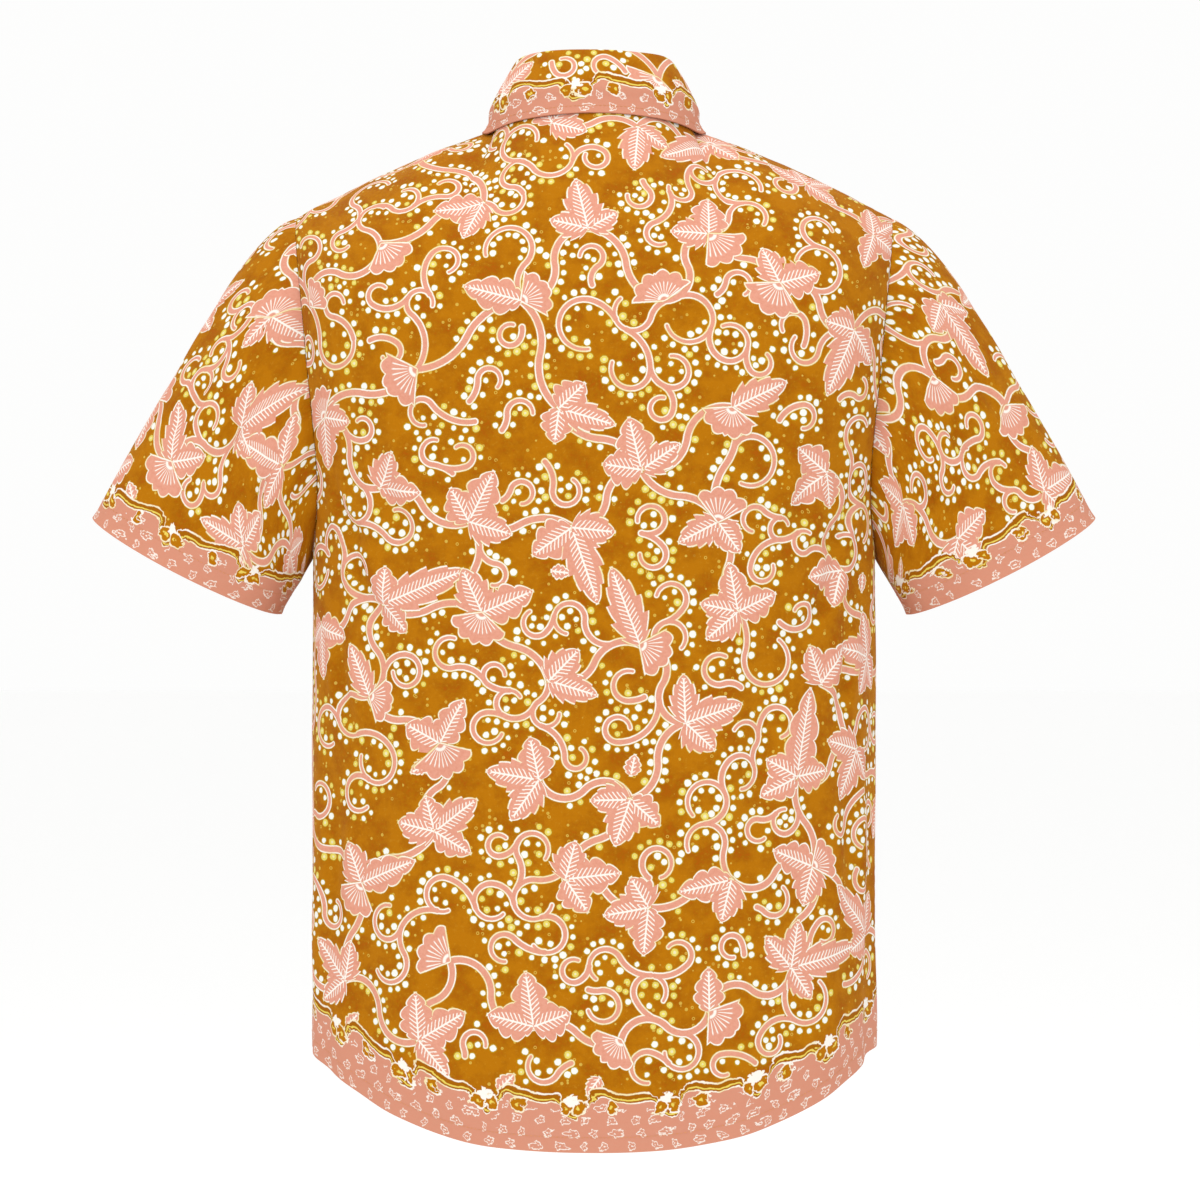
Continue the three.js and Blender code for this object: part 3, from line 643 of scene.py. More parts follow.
# every cell of cloth learns the two nearest strokes, lobes and beads, in each one's own millimetres
def printCorners(plan, s, t):
    centre = np.stack([s.mean(1), t.mean(1)], -1)
    arcs = np.array(plan.arcs)
    leaves = np.array(plan.leaves)
    ahead = np.stack([np.cos(leaves[:, 2]), np.sin(leaves[:, 2])], -1)
    arcPick, leafPick = [], []
    for part in np.array_split(centre, max(1, len(centre) // 1500)):
        arcPick.append(nearestTwo(arcDistance(part, arcs) - arcs[:, 5]))
        gap = part[:, None] - leaves[None, :, :2]
        u = (gap * ahead).sum(-1)
        v = np.linalg.norm(gap - u[..., None] * ahead, axis=-1)
        beyond = np.maximum(np.abs(u - leaves[:, 3] / 2) - leaves[:, 3] * 0.38, 0)
        leafGap = np.hypot(beyond, v) - leaves[:, 4] * 0.8
        fanGap = np.hypot(u, v) - leaves[:, 3]
        leafPick.append(nearestTwo(np.where(leaves[:, 5] == 1, fanGap, leafGap)))
    arcPick, leafPick = np.concatenate(arcPick), np.concatenate(leafPick)
    tree = KDTree(len(plan.beads))
    for i, bead in enumerate(plan.beads):
        tree.insert((bead[0], bead[1], 0), i)
    tree.balance()
    beadPick = np.array([[hit[1] for hit in tree.find_n((x, y, 0), 2)] for x, y in centre])
    corners = {"clothPlace": np.stack([s, t, s * 0], -1) * 1000}
    for n in range(2):
        arc = arcs[arcPick[:, n]][:, None]
        dx, dy = s - arc[..., 0], t - arc[..., 1]
        c, d = np.cos(arc[..., 3]), np.sin(arc[..., 3])
        same = np.ones_like(s)
        corners[f"vine{n}"] = np.stack([dx * c + dy * d, dy * c - dx * d, arc[..., 2] * same], -1) * 1000
        corners[f"vineEnd{n}"] = np.stack(
            [arc[..., 4] * same, arc[..., 5] * 1000 * same, arc[..., 6] * same], -1)
        leaf = leaves[leafPick[:, n]][:, None]
        dx, dy = s - leaf[..., 0], t - leaf[..., 1]
        c, d = np.cos(leaf[..., 2]), np.sin(leaf[..., 2])
        corners[f"leaf{n}"] = np.stack([dx * c + dy * d, dy * c - dx * d, leaf[..., 3] * same], -1) * 1000
        corners[f"leafShape{n}"] = np.stack(
            [leaf[..., 4] * 1000 * same, leaf[..., 5] * same, leaf[..., 6] * same], -1)
        bead = plan.beads[beadPick[:, n]][:, None]
        corners[f"bead{n}"] = np.stack(
            [(s - bead[..., 0]) * 1000, (t - bead[..., 1]) * 1000,
             (bead[..., 2] * 1000 + 10 * bead[..., 3]) * same], -1)
    return corners


# the cloth's own material
class Field:                             # a number that varies over the cloth, with plain arithmetic
    def __init__(self, tree, socket):
        self.tree, self.socket = tree, socket

    def make(self, operation, *inputs):
        node = self.tree.nodes.new("ShaderNodeMath")
        node.operation = operation
        for slot, value in zip(node.inputs, inputs):
            if isinstance(value, Field):
                self.tree.links.new(value.socket, slot)
            else:
                slot.default_value = float(value)
        return Field(self.tree, node.outputs[0])

    def __add__(self, other):
        return self.make("ADD", self, other)

    def __sub__(self, other):
        return self.make("SUBTRACT", self, other)

    def __mul__(self, other):
        return self.make("MULTIPLY", self, other)

    def __truediv__(self, other):
        return self.make("DIVIDE", self, other)

    def size(self):
        return self.make("ABSOLUTE", self)

    def least(self, other):
        return self.make("MINIMUM", self, other)

    def most(self, other):
        return self.make("MAXIMUM", self, other)

    def power(self, other):
        return self.make("POWER", self, other)

    def sine(self):
        return self.make("SINE", self)

    def part(self):
        return self.make("FRACT", self)

    def rest(self):                      # what is left up to 1
        return self * -1 + 1

    def turnFrom(self, other):           # the angle of the point (other, self)
        return self.make("ARCTAN2", self, other)

    def below(self, edge, soft=0.16):    # 1 under the edge, 0 over it
        node = self.tree.nodes.new("ShaderNodeMapRange")
        self.tree.links.new(self.socket, node.inputs[0])
        for slot, value in zip(node.inputs[1:5], (edge - soft, edge + soft, 1, 0)):
            slot.default_value = value
        return Field(self.tree, node.outputs[0])


def distance(x, y):
    return (x * x + y * y).power(0.5)


def attributeFields(tree, name):
    node = tree.nodes.new("ShaderNodeAttribute")
    node.attribute_name = name
    split = tree.nodes.new("ShaderNodeSeparateXYZ")
    tree.links.new(node.outputs["Vector"], split.inputs[0])
    return [Field(tree, out) for out in split.outputs]


def linearColor(r, g, b):
    def one(v):
        v /= 255
        return v / 12.92 if v < 0.04045 else ((v + 0.055) / 1.055) ** 2.4
    return (one(r), one(g), one(b), 1)


def layColor(tree, under, over, share):
    node = tree.nodes.new("ShaderNodeMix")
    node.data_type = "RGBA"
    tree.links.new(share.socket if isinstance(share, Field) else share, node.inputs[0])
    for slot, value in ((node.inputs[6], under), (node.inputs[7], over)):
        if isinstance(value, tuple):
            slot.default_value = value
        else:
            tree.links.new(value, slot)
    return node.outputs[2]


class Layers:                            # colours laid one over the other on the same cloth
    def __init__(self, tree, tone, first):
        self.tree, self.tone, self.color = tree, tone, tone[first]

    def lay(self, over, share):
        over = self.tone[over] if isinstance(over, str) else over
        self.color = layColor(self.tree, self.color, over, share)


def newMaterial(name):
    material = bpy.data.materials.new(name)
    material.use_nodes = True
    tree = material.node_tree
    return material, tree, tree.nodes["Principled BSDF"]


def noiseField(tree, place, scale, detail=3, roughness=0.6, stretch=None):
    node = tree.nodes.new("ShaderNodeTexNoise")
    node.inputs["Scale"].default_value = scale
    node.inputs["Detail"].default_value = detail
    node.inputs["Roughness"].default_value = roughness
    if stretch:
        mapping = tree.nodes.new("ShaderNodeMapping")
        mapping.inputs["Scale"].default_value = stretch
        tree.links.new(place, mapping.inputs["Vector"])
        place = mapping.outputs[0]
    tree.links.new(place, node.inputs["Vector"])
    return Field(tree, node.outputs["Fac"])


batik = {
    "ground": (186, 116, 6), "groundDeep": (166, 98, 3), "groundPale": (203, 143, 38),
    "rust": (184, 84, 8), "pink": (230, 162, 138), "pinkDeep": (217, 142, 116), "wax": (252, 246, 236),
    "waxYellow": (236, 212, 96), "halo": (190, 158, 18), "bead": (246, 247, 240),
    "beadYellow": (232, 214, 92),
    "border": (215, 148, 122), "roughness": 0.88, "sheen": 0.015, "specular": 0.05, "brightness": 0.80,
}


strokes = {                              # the drawing of the motifs, in millimetres
    "beadHalo": 0.75, "vineHalo": 1.5, "vineWax": 0.95, "leafHalo": 1.7, "leafWax": 1.05, "veinPitch": 3.3,
    "teeth": 4.5, "lobes": 10.5, "scallops": 6.2, "fanLines": 4.6, "dotScale": 0.21, "thinning": 0.42,
}
border = {
    "wave": 66, "drift": 34, "lineAbove": 2.5, "brown": 6.1, "brownWax": 7.4, "yellowAt": 2.6,
    "blossomPitch": 17, "blossomRow": 9.2,
    "berries": ((13, 1.5, 4.2), (46, 0.5, 4.0), (56, 1.0, 4.4)), "flower": (51, 6.5),
}


def batikMaterial():
    material, tree, shader = newMaterial("batik cloth")
    tone = {key: linearColor(*value) for key, value in batik.items() if isinstance(value, tuple)}
    tone = {key: tuple(c * batik["brightness"] for c in value[:3]) + (1,) for key, value in tone.items()}

    placeNode = tree.nodes.new("ShaderNodeAttribute")
    placeNode.attribute_name = "clothPlace"
    place = placeNode.outputs["Vector"]
    blotch = noiseField(tree, place, 0.045, 4, 0.62)
    crackle = noiseField(tree, place, 0.35, 5, 0.7)
    fine = noiseField(tree, place, 1.6, 2, 0.5)

    cloth = Layers(tree, tone, "groundDeep")
    cloth.lay("ground", blotch.rest().below(0.52, 0.10))
    cloth.lay("groundPale", crackle.rest().below(0.36, 0.08) * 0.55)
    cloth.lay("rust", (blotch * 0.5 + crackle * 0.5).below(0.42, 0.05) * 0.5)

    cell = tree.nodes.new("ShaderNodeTexVoronoi")        # small wax spots and rings between the vines
    cell.inputs["Scale"].default_value = strokes["dotScale"]
    tree.links.new(place, cell.inputs["Vector"])
    spot = Field(tree, cell.outputs["Distance"])
    pick = tree.nodes.new("ShaderNodeSeparateColor")
    tree.links.new(cell.outputs["Color"], pick.inputs[0])
    chosen = Field(tree, pick.outputs[0]).below(0.30, 0.01)
    ringed = (spot - 0.20).size().below(0.05, 0.03)
    dotted = spot.below(0.13, 0.03) * Field(tree, pick.outputs[1]).below(0.5, 0.01)
    cloth.lay("waxYellow", ringed.most(dotted) * chosen * 0.62)

    hand = (crackle - 0.5) * 2.6 + (fine - 0.5) * 0.7    # the unsteady line of a hand-held wax pen
    for n in (0, 1):
        x, y, code = attributeFields(tree, f"bead{n}")
        isYellow = (code - 5).make("GREATER_THAN", code, 5)
        radius = code - isYellow * 10
        away = distance(x, y) + hand * 0.7 - radius
        cloth.lay("halo", away.below(strokes["beadHalo"], 0.3) * 0.75)
        inner = away.below(0, 0.18)
        cloth.lay("bead", inner)
        paleHeart = (away + 1.4).below(0, 0.5) * -0.5 + 1
        cloth.lay("beadYellow", inner * isYellow * paleHeart)

    vineGap = None
    for n in (0, 1):
        x, y, radius = attributeFields(tree, f"vine{n}")
        half, width, taper = attributeFields(tree, f"vineEnd{n}")
        y0 = y.size()
        angle = y0.turnFrom(x)
        reach = distance(x, y)
        endX = x - radius * half.make("COSINE", half)
        endY = y0 - radius * half.sine()
        tip = distance(endX, endY)
        inSpan = half.make("GREATER_THAN", half, angle)
        ringGap = (reach - radius).size()
        gap = ringGap * inSpan + tip * inSpan.rest()
        turned = y.turnFrom(x) * taper / half
        thin = width * ((turned.most(-1).least(1) * 0.5 + 0.5) * taper.size() * -strokes["thinning"] + 1)
        gap = gap - thin
        vineGap = gap if vineGap is None else vineGap.least(gap)
    vineGap = vineGap + hand * 0.34
    pink = layColor(tree, tone["pink"], tone["pinkDeep"], crackle.rest().below(0.47, 0.12) * 0.6)
    waxTone = layColor(tree, tone["wax"], tone["waxYellow"], blotch.rest().below(0.47, 0.08) * 0.55)
    cloth.lay("halo", vineGap.below(strokes["vineHalo"], 0.3) * 0.5)
    cloth.lay(waxTone, vineGap.below(strokes["vineWax"], 0.2))
    cloth.lay(pink, vineGap.below(0, 0.2))

    for n in (1, 0):
        u, v, length = attributeFields(tree, f"leaf{n}")
        half, kind, number = attributeFields(tree, f"leafShape{n}")
        v0 = v.size()
        along = (u / length).most(0.001).least(0.999)
        lobed = number.rest().below(0.5, 0.01)       # half the leaves have round lobes, half have teeth
        teeth = (along * strokes["teeth"] + number).part() * 0.30 + 0.80
        lobes = (along * strokes["lobes"] + number * 2).sine().size().power(0.6) * 0.36 + 0.74
        outline = teeth * lobed.rest() + lobes * lobed
        swell = (along.power(0.72) * math.pi).sine().most(0.0001).power(0.72)
        leafEdge = v0 - half * swell * outline
        past = (u * -1).most(u - length)
        leafEdge = leafEdge.most(past)
        middle = (v0 - 0.35 + hand * 0.2).below(0.30, 0.15) * (along - 0.92).below(0, 0.03)
        slant = ((u - v0 * 0.75 + hand * 0.7) / strokes["veinPitch"]).part()
        veins = (slant - 0.5).size().below(0.15, 0.05) * (v0 - half * swell * 0.50).below(0, 0.3)
        reach = distance(u, v)
        angle = v0.turnFrom(u)
        scallop = (angle * strokes["scallops"] + number * 3).sine().size() * 0.13 + 0.87
        fanEdge = (reach - length * scallop).most((angle - 0.85 - number * 0.45) * reach)
        fanHatch = ((angle * strokes["fanLines"] + hand * 0.05).part() - 0.5).size().below(0.13, 0.05)
        fanHatch = fanHatch * (reach / length + number * 0.1 - 0.50).size().below(0.22, 0.03)
        fanRing = (reach / length - 0.17).size().below(0.045, 0.02)
        edge = leafEdge * kind.rest() + fanEdge * kind + hand * 0.45
        lines = middle.most(veins) * kind.rest() + fanHatch.most(fanRing) * kind
        cloth.lay("halo", edge.below(strokes["leafHalo"], 0.3) * 0.45)
        cloth.lay(waxTone, edge.below(strokes["leafWax"], 0.2))
        cloth.lay(pink, edge.below(0, 0.2))
        cloth.lay("wax", lines * edge.below(-0.4, 0.2))

    layBorder(cloth, waxTone, hand, blotch, crackle)
    weaveBump(tree, shader, place, fine, crackle)
    tree.links.new(cloth.color, shader.inputs["Base Color"])
    shader.inputs["Roughness"].default_value = batik["roughness"]
    shader.inputs["Sheen Weight"].default_value = batik["sheen"]
    shader.inputs["Sheen Roughness"].default_value = 0.5
    shader.inputs["Specular IOR Level"].default_value = batik["specular"]
    return material


# the pink edge with small blossoms, and the curling line above it with its berries
def layBorder(cloth, waxTone, hand, blotch, crackle):
    tree, tone = cloth.tree, cloth.tone
    along, up, band = attributeFields(tree, "edgePlace")
    along = along + (blotch - 0.5) * border["drift"]
    wavePart = (along / border["wave"]).part()
    rise = (wavePart * 2 * math.pi).sine() * 5.6 + (wavePart * 4 * math.pi + 0.8).sine() * 4.2
    rise = rise + (wavePart * 6 * math.pi + 2.1).sine() * 1.3
    line = up - band - rise - border["lineAbove"] + hand * 0.3
    cloth.lay(waxTone, line.below(border["brownWax"], 0.25))
    cloth.lay("groundDeep", line.below(border["brown"], 0.25))
    cloth.lay("waxYellow", (line - border["yellowAt"]).size().below(0.55, 0.2))
    cloth.lay(waxTone, line.below(0.9, 0.2))
    pinkEdge = layColor(tree, tone["border"], tone["pinkDeep"], crackle.rest().below(0.47, 0.12) * 0.5)
    cloth.lay(pinkEdge, line.below(0, 0.2))
    for x0, y0, radius in border["berries"]:
        dx = wavePart * border["wave"] - x0
        dy = up - band - y0
        away = (dx * dx + dy * dy * 0.8).power(0.5) + hand * 0.35 - radius
        cloth.lay(waxTone, away.below(1.1, 0.2))
        cloth.lay("ground", away.below(0, 0.2))
        cloth.lay("waxYellow", (away + 3.0).below(0, 0.3))
    dx = wavePart * border["wave"] - border["flower"][0]
    dy = up - band - border["flower"][1]
    reach = distance(dx, dy)
    petals = (dy.turnFrom(dx) * 2.5).sine().size() * 2.0 + 2.8
    cloth.lay("wax", (reach - petals).below(0, 0.3))
    row = up / border["blossomRow"]
    rowNumber = row.make("FLOOR", row)
    column = along / border["blossomPitch"] + rowNumber * 0.37 + (rowNumber * 12.9).sine() * 0.2
    cx = (column.part() - 0.5) * border["blossomPitch"]
    cy = (row.part() - 0.5) * border["blossomRow"]
    reach = distance(cx, cy)
    turn = cy.turnFrom(cx) * 2.5
    blossom = turn.sine().size() * 1.2 + 2.0 + hand * 0.22
    petal = (reach - blossom).size().below(0.42, 0.2).most(reach.below(0.6, 0.2))
    cloth.lay("wax", petal * line.below(-4.5, 0.3) * 0.85)


def weaveBump(tree, shader, place, fine, crackle):
    u, v, _ = attributeFields(tree, "clothPlace")
    threads = (u * (2 * math.pi / 0.62)).sine() * (v * (2 * math.pi / 0.62)).sine()
    slub = noiseField(tree, place, 1, 3, 0.6, (0.25, 2.2, 1))
    height = threads * 0.35 + slub * 0.8 + fine * 0.6 + crackle * 0.5
    bump = tree.nodes.new("ShaderNodeBump")
    bump.inputs["Strength"].default_value = 0.35
    bump.inputs["Distance"].default_value = 0.0002
    tree.links.new(height.socket, bump.inputs["Height"])
    tree.links.new(bump.outputs[0], shader.inputs["Normal"])


clothFinish = batikMaterial()
print("cloth material ready")


# the pieces
body = {"rowsBelow": 99, "rowsAbove": 66, "backColumns": 145, "leftColumns": 66, "rightColumns": 76,
        "bandColumns": 15, "hemBand": 31, "vinesFrom": 0.047, "ripple": 0.0011, "bandThick": 0.0017,
        "bandProud": 0.0003, "lapColumns": 16, "hemLine": 0.011}
seams = {"fade": 0.014, "valley": 0.0003, "valleyWidth": 0.0026, "pucker": 0.00025, "puckerPitch": 0.011,
         "puckerWidth": 0.006}
rowsUp = np.concatenate([np.linspace(0, cut["hemRows"], body["rowsBelow"] + 1),
                         np.linspace(cut["hemRows"], 21, body["rowsAbove"] + 1)[1:]])
startRow = body["rowsBelow"]


def signedBody(panel, k):
    k2, v2 = np.meshgrid(k, rowsUp)
    left = bodyPoints(panel, np.abs(k2), v2, 1)
    return np.where((k2 < 0)[..., None], left * np.array([-1, 1, 1]), left)


def foldsFor(panel, k):                  # the right side has its own folds, so it is not a mirror copy
    k2, v2 = np.meshgrid(k, rowsUp)
    return np.where((k2 < 0)[..., None], bodyPoints(panel, np.abs(k2), v2, -1),
                    bodyPoints(panel, np.abs(k2), v2, 1))


def bodyPlan(p, centreColumn, way):
    s, t = flatPlan(p, startRow)
    s = s - s[:, centreColumn:centreColumn + 1]
    s[:startRow] = s[startRow]
    t[:startRow] = p[:startRow, :, 2] - underarmZ
    hemZ = p[0, :, 2]
    hemSlope = np.gradient(hemZ) / np.maximum(np.gradient(s[startRow]), 1e-6)
    lean = 1 / np.sqrt(1 + hemSlope**2)
    up = (p[..., 2] - hemZ) * lean
    along = np.cumsum(np.gradient(s[startRow]) / lean)
    along = along - along[centreColumn]
    return s * way, t, np.broadcast_to(along * way, s.shape), up


def seamFade(s, t, edges):               # distance in to the sewn edges
    gaps = []
    if "left" in edges:
        gaps.append(np.abs(s - s[:, :1]))
    if "right" in edges:
        gaps.append(np.abs(s[:, -1:] - s))
    if "top" in edges:
        gaps.append(np.abs(t[-1:] - t))
    if "bottom" in edges:
        gaps.append(np.abs(t - t[:1]))
    return np.minimum.reduce(gaps) if gaps else np.ones_like(s)


def dressed(p, s, t, kind, mirror, edges, seed, ripple, ring=False):
    normals = gridNormals(p, ring)
    gap = seamFade(s, t, edges)
    move = creaseDepth(kind, s, t, mirror) if kind else 0
    move = (move + softRipple(s, t, seed, ripple)) * smooth(gap / seams["fade"])
    rng = np.random.default_rng(seed + 1)
    pucker = np.sin(t * 2 * math.pi / seams["puckerPitch"] + rng.uniform(0, 6)) * seams["pucker"]
    pucker = pucker * np.exp(-(gap / seams["puckerWidth"]) ** 2)
    move = move - seams["valley"] * np.exp(-(gap / seams["valleyWidth"]) ** 2) + pucker
    return p + normals * move[..., None]


def trimmed(p, edges, room):             # sewn edges stop just short of each other
    p = p.copy()
    if "left" in edges:
        p[:, 0] += unit(p[:, 1] - p[:, 0]) * room
    if "right" in edges:
        p[:, -1] += unit(p[:, -2] - p[:, -1]) * room
    if "top" in edges:
        p[-1] += unit(p[-2] - p[-1]) * room
    if "bottom" in edges:
        p[0] += unit(p[1] - p[0]) * room
    return p


def edgeCorners(along, up, band):
    same = np.ones_like(along)
    return np.stack([along * 1000, up * 1000, band * same], -1)


finished = {}
flatCut = {}              # width and length of each cut piece, and its flat area


def measureFlat(name, p, s, t, ring):
    rows = np.concatenate([p, p[:, :1]], 1) if ring else p
    lean = np.cross(rows[1:, 1:] - rows[:-1, :-1], rows[1:, :-1] - rows[:-1, 1:])
    area = float(np.linalg.norm(lean, axis=-1).sum() / 2)
    width = area / float(np.ptp(t, 0).mean()) if ring else float(np.ptp(s))      # a sleeve's mean girth
    flatCut[name] = (width, float(np.ptp(t)), area)
    print("flat cut", name, [round(value, 4) for value in flatCut[name]])


def addCloth(name, p, s, t, along, up, band, plan, edges, ring=False, wrap=None, thick=None):
    thick = cut["clothThick"] if thick is None else thick
    sc = cellCorners(s, ring, 0 if wrap is None else wrap[0])
    tc = cellCorners(t, ring)
    corners = printCorners(plan, sc, tc)
    ac = cellCorners(along, ring, 0 if wrap is None else wrap[1])
    corners["edgePlace"] = edgeCorners(ac, cellCorners(up, ring), band)
    piece = clothMesh(name, trimmed(p, edges, cut["seamRoom"]), ring, corners, thick)
    piece.data.materials.append(clothFinish)
    finished[name] = piece
    measureFlat(name, p, s, t, ring)
    print("cloth", name, len(piece.data.polygons), "faces")


def hemClear(s, t):                      # the vines keep off the pink edge: height of the line at any s
    table = np.argsort(s[startRow])
    lineS, lineT = s[startRow][table], (t[0] + body["vinesFrom"])[table]
    return lambda qs, qt: qt > np.interp(qs, lineS, lineT)


sewnEdges = ("left", "right", "top")
backGrid = foldsFor(backCut, np.linspace(12, -12, body["backColumns"]))
bs, bt, bAlong, bUp = bodyPlan(backGrid, body["backColumns"] // 2, 1)
backPlan = PrintPlan(11, (-0.31, -0.46), (0.31, 0.36), hemClear(bs, bt)).make()
print("print for the back:", len(backPlan.arcs), "strokes", len(backPlan.beads), "beads")
backShape = dressed(backGrid, bs, bt, "back", 1, sewnEdges, 21, body["ripple"])
addCloth("back", backShape, bs, bt, bAlong, bUp, body["hemBand"], backPlan, sewnEdges)

leftGrid = foldsFor(frontCut, np.linspace(1, 12, body["leftColumns"]))
ls, lt, lAlong, lUp = bodyPlan(leftGrid, 0, 1)
ls, lAlong = ls + cut["bandHalf"], lAlong + cut["bandHalf"]
leftPlan = PrintPlan(23, (-0.03, -0.46), (0.31, 0.34), hemClear(ls, lt)).make()
leftShape = dressed(leftGrid, ls, lt, "front", 1, sewnEdges, 22, body["ripple"])
addCloth("front_left", leftShape, ls, lt, lAlong, lUp, body["hemBand"], leftPlan, sewnEdges)

bandGrid = foldsFor(frontCut, np.linspace(-1, 1, body["bandColumns"]))
ds, dt, dAlong, dUp = bodyPlan(bandGrid, body["bandColumns"] // 2, 1)
bandShape = bandGrid + gridNormals(bandGrid, False) * body["bandProud"]
addCloth("placket_band", bandShape, ds, dt, dAlong, dUp, body["hemBand"], leftPlan, ("right", "top"),
         thick=body["bandThick"])

columnsRight = np.concatenate([np.linspace(-12, -1.3, body["rightColumns"] - body["lapColumns"]),
                               np.linspace(-1.2, 0.88, body["lapColumns"])])
rightGrid = foldsFor(frontCut, columnsRight)
rs, rt, rAlong, rUp = bodyPlan(rightGrid, body["rightColumns"] - body["lapColumns"] // 2, 1)
lap = smooth((columnsRight + 1.28) / 0.24) * cut["lapDrop"] * 1.15
rightGrid = rightGrid - gridNormals(rightGrid, False) * lap[None, :, None]
rightPlan = PrintPlan(37, (-0.31, -0.46), (0.03, 0.34), hemClear(rs, rt)).make()
rightShape = dressed(rightGrid, rs, rt, "front", -1, ("left", "top"), 24, body["ripple"])
addCloth("front_right", rightShape, rs, rt, rAlong, rUp, body["hemBand"], rightPlan, ("left", "top"))

sleeve = {"around": 116, "down": 62, "cuffBand": 21, "vinesFrom": 0.034, "ripple": 0.0010, "flare": 0.0008,
          "flareHeight": 0.004, "hemLine": 0.016}


def makeSleeve(name, side, seed):
    turns = np.linspace(0, 2 * math.pi, sleeve["around"], endpoint=False)
    if side < 0:
        turns = (2 * math.pi - turns) % (2 * math.pi)
    turn2, down2 = np.meshgrid(turns, np.linspace(0, 1, sleeve["down"]))
    p = sleevePoints(turn2, down2, side)
    s, t = flatPlan(p, 0)
    girth = s[:, -1] + np.linalg.norm(p[:, 0] - p[:, -1], axis=-1)
    s = s - girth[:, None] / 2
    t = t[-1:] - t
    plan = PrintPlan(seed, (-0.27, -0.01), (0.27, 0.30), lambda qs, qt: qt > sleeve["vinesFrom"]).make()
    normals = gridNormals(p, True)
    topGap = np.linalg.norm(p - p[:1], axis=-1)
    seamGap = np.minimum(s + girth[:, None] / 2, girth[:, None] / 2 - s)
    gap = np.minimum(topGap, seamGap)
    move = creaseDepth("sleeve", s, t, side) + softRipple(s, t, seed, sleeve["ripple"])
    move = move * smooth(gap / seams["fade"])
    move = move - seams["valley"] * np.exp(-(gap / seams["valleyWidth"]) ** 2)
    move = move + sleeve["flare"] * np.exp(-(t / sleeve["flareHeight"]) ** 2)
    shape = p + normals * move[..., None]
    cuffAlong = np.broadcast_to(s[-1:], s.shape)
    cuffGirth = np.full(len(s), girth[-1])
    addCloth(name, shape, s, t, cuffAlong, t, sleeve["cuffBand"], plan, ("bottom",), True,
             (girth, cuffGirth))


makeSleeve("sleeve_left", 1, 41)
makeSleeve("sleeve_right", -1, 53)

collar = {"around": 150, "standRows": 10, "fallRows": 18, "overRows": 8, "fallBand": 17, "fallThick": 0.0014,
          "standThick": 0.0013, "standPrint": 0.10, "noEdge": 9, "restsWithin": 0.012, "lowShare": 0.6}


def makeStand():
    first = math.pi + math.asin(cut["bandHalf"] / cut["neckHalfWidth"])
    last = -math.pi - math.asin(cut["lapEnd"] / cut["neckHalfWidth"])
    turn = np.linspace(first, last, collar["around"])
    hidden = -math.pi + math.asin((cut["bandHalf"] + 0.0006) / cut["neckHalfWidth"])
    lap = smooth((hidden + 0.05 - turn) / 0.05) * cut["lapDrop"]
    low, high = neckSeam(turn), standTop(turn)
    low[:, 1] += lap
    high[:, 1] += lap
    up = np.linspace(0.02, 0.985, collar["standRows"])[:, None, None]
    p = low[None] * (1 - up) + high[None] * up
    s, t = flatPlan(p, 0)
    s = s - s[:, collar["around"] // 2][:, None]
    addCloth("collar_stand", p, s, t + collar["standPrint"], s, t + collar["noEdge"], 0, backPlan, (),
             thick=collar["standThick"])


makeStand()


def bodyTree():
    points, faces = [], []
    for grid in (backGrid, signedBody(frontCut, np.linspace(-12, 12, 97))):
        rows, columns = grid.shape[:2]
        index = np.arange(rows * columns).reshape(rows, columns) + len(points)
        quads = np.stack([index[:-1, :-1], index[:-1, 1:], index[1:, 1:], index[1:, :-1]], -1)
        faces += quads[startRow:].reshape(-1, 4).tolist()
        points += grid.reshape(-1, 3).tolist()
    return BVHTree.FromPolygons(points, faces)


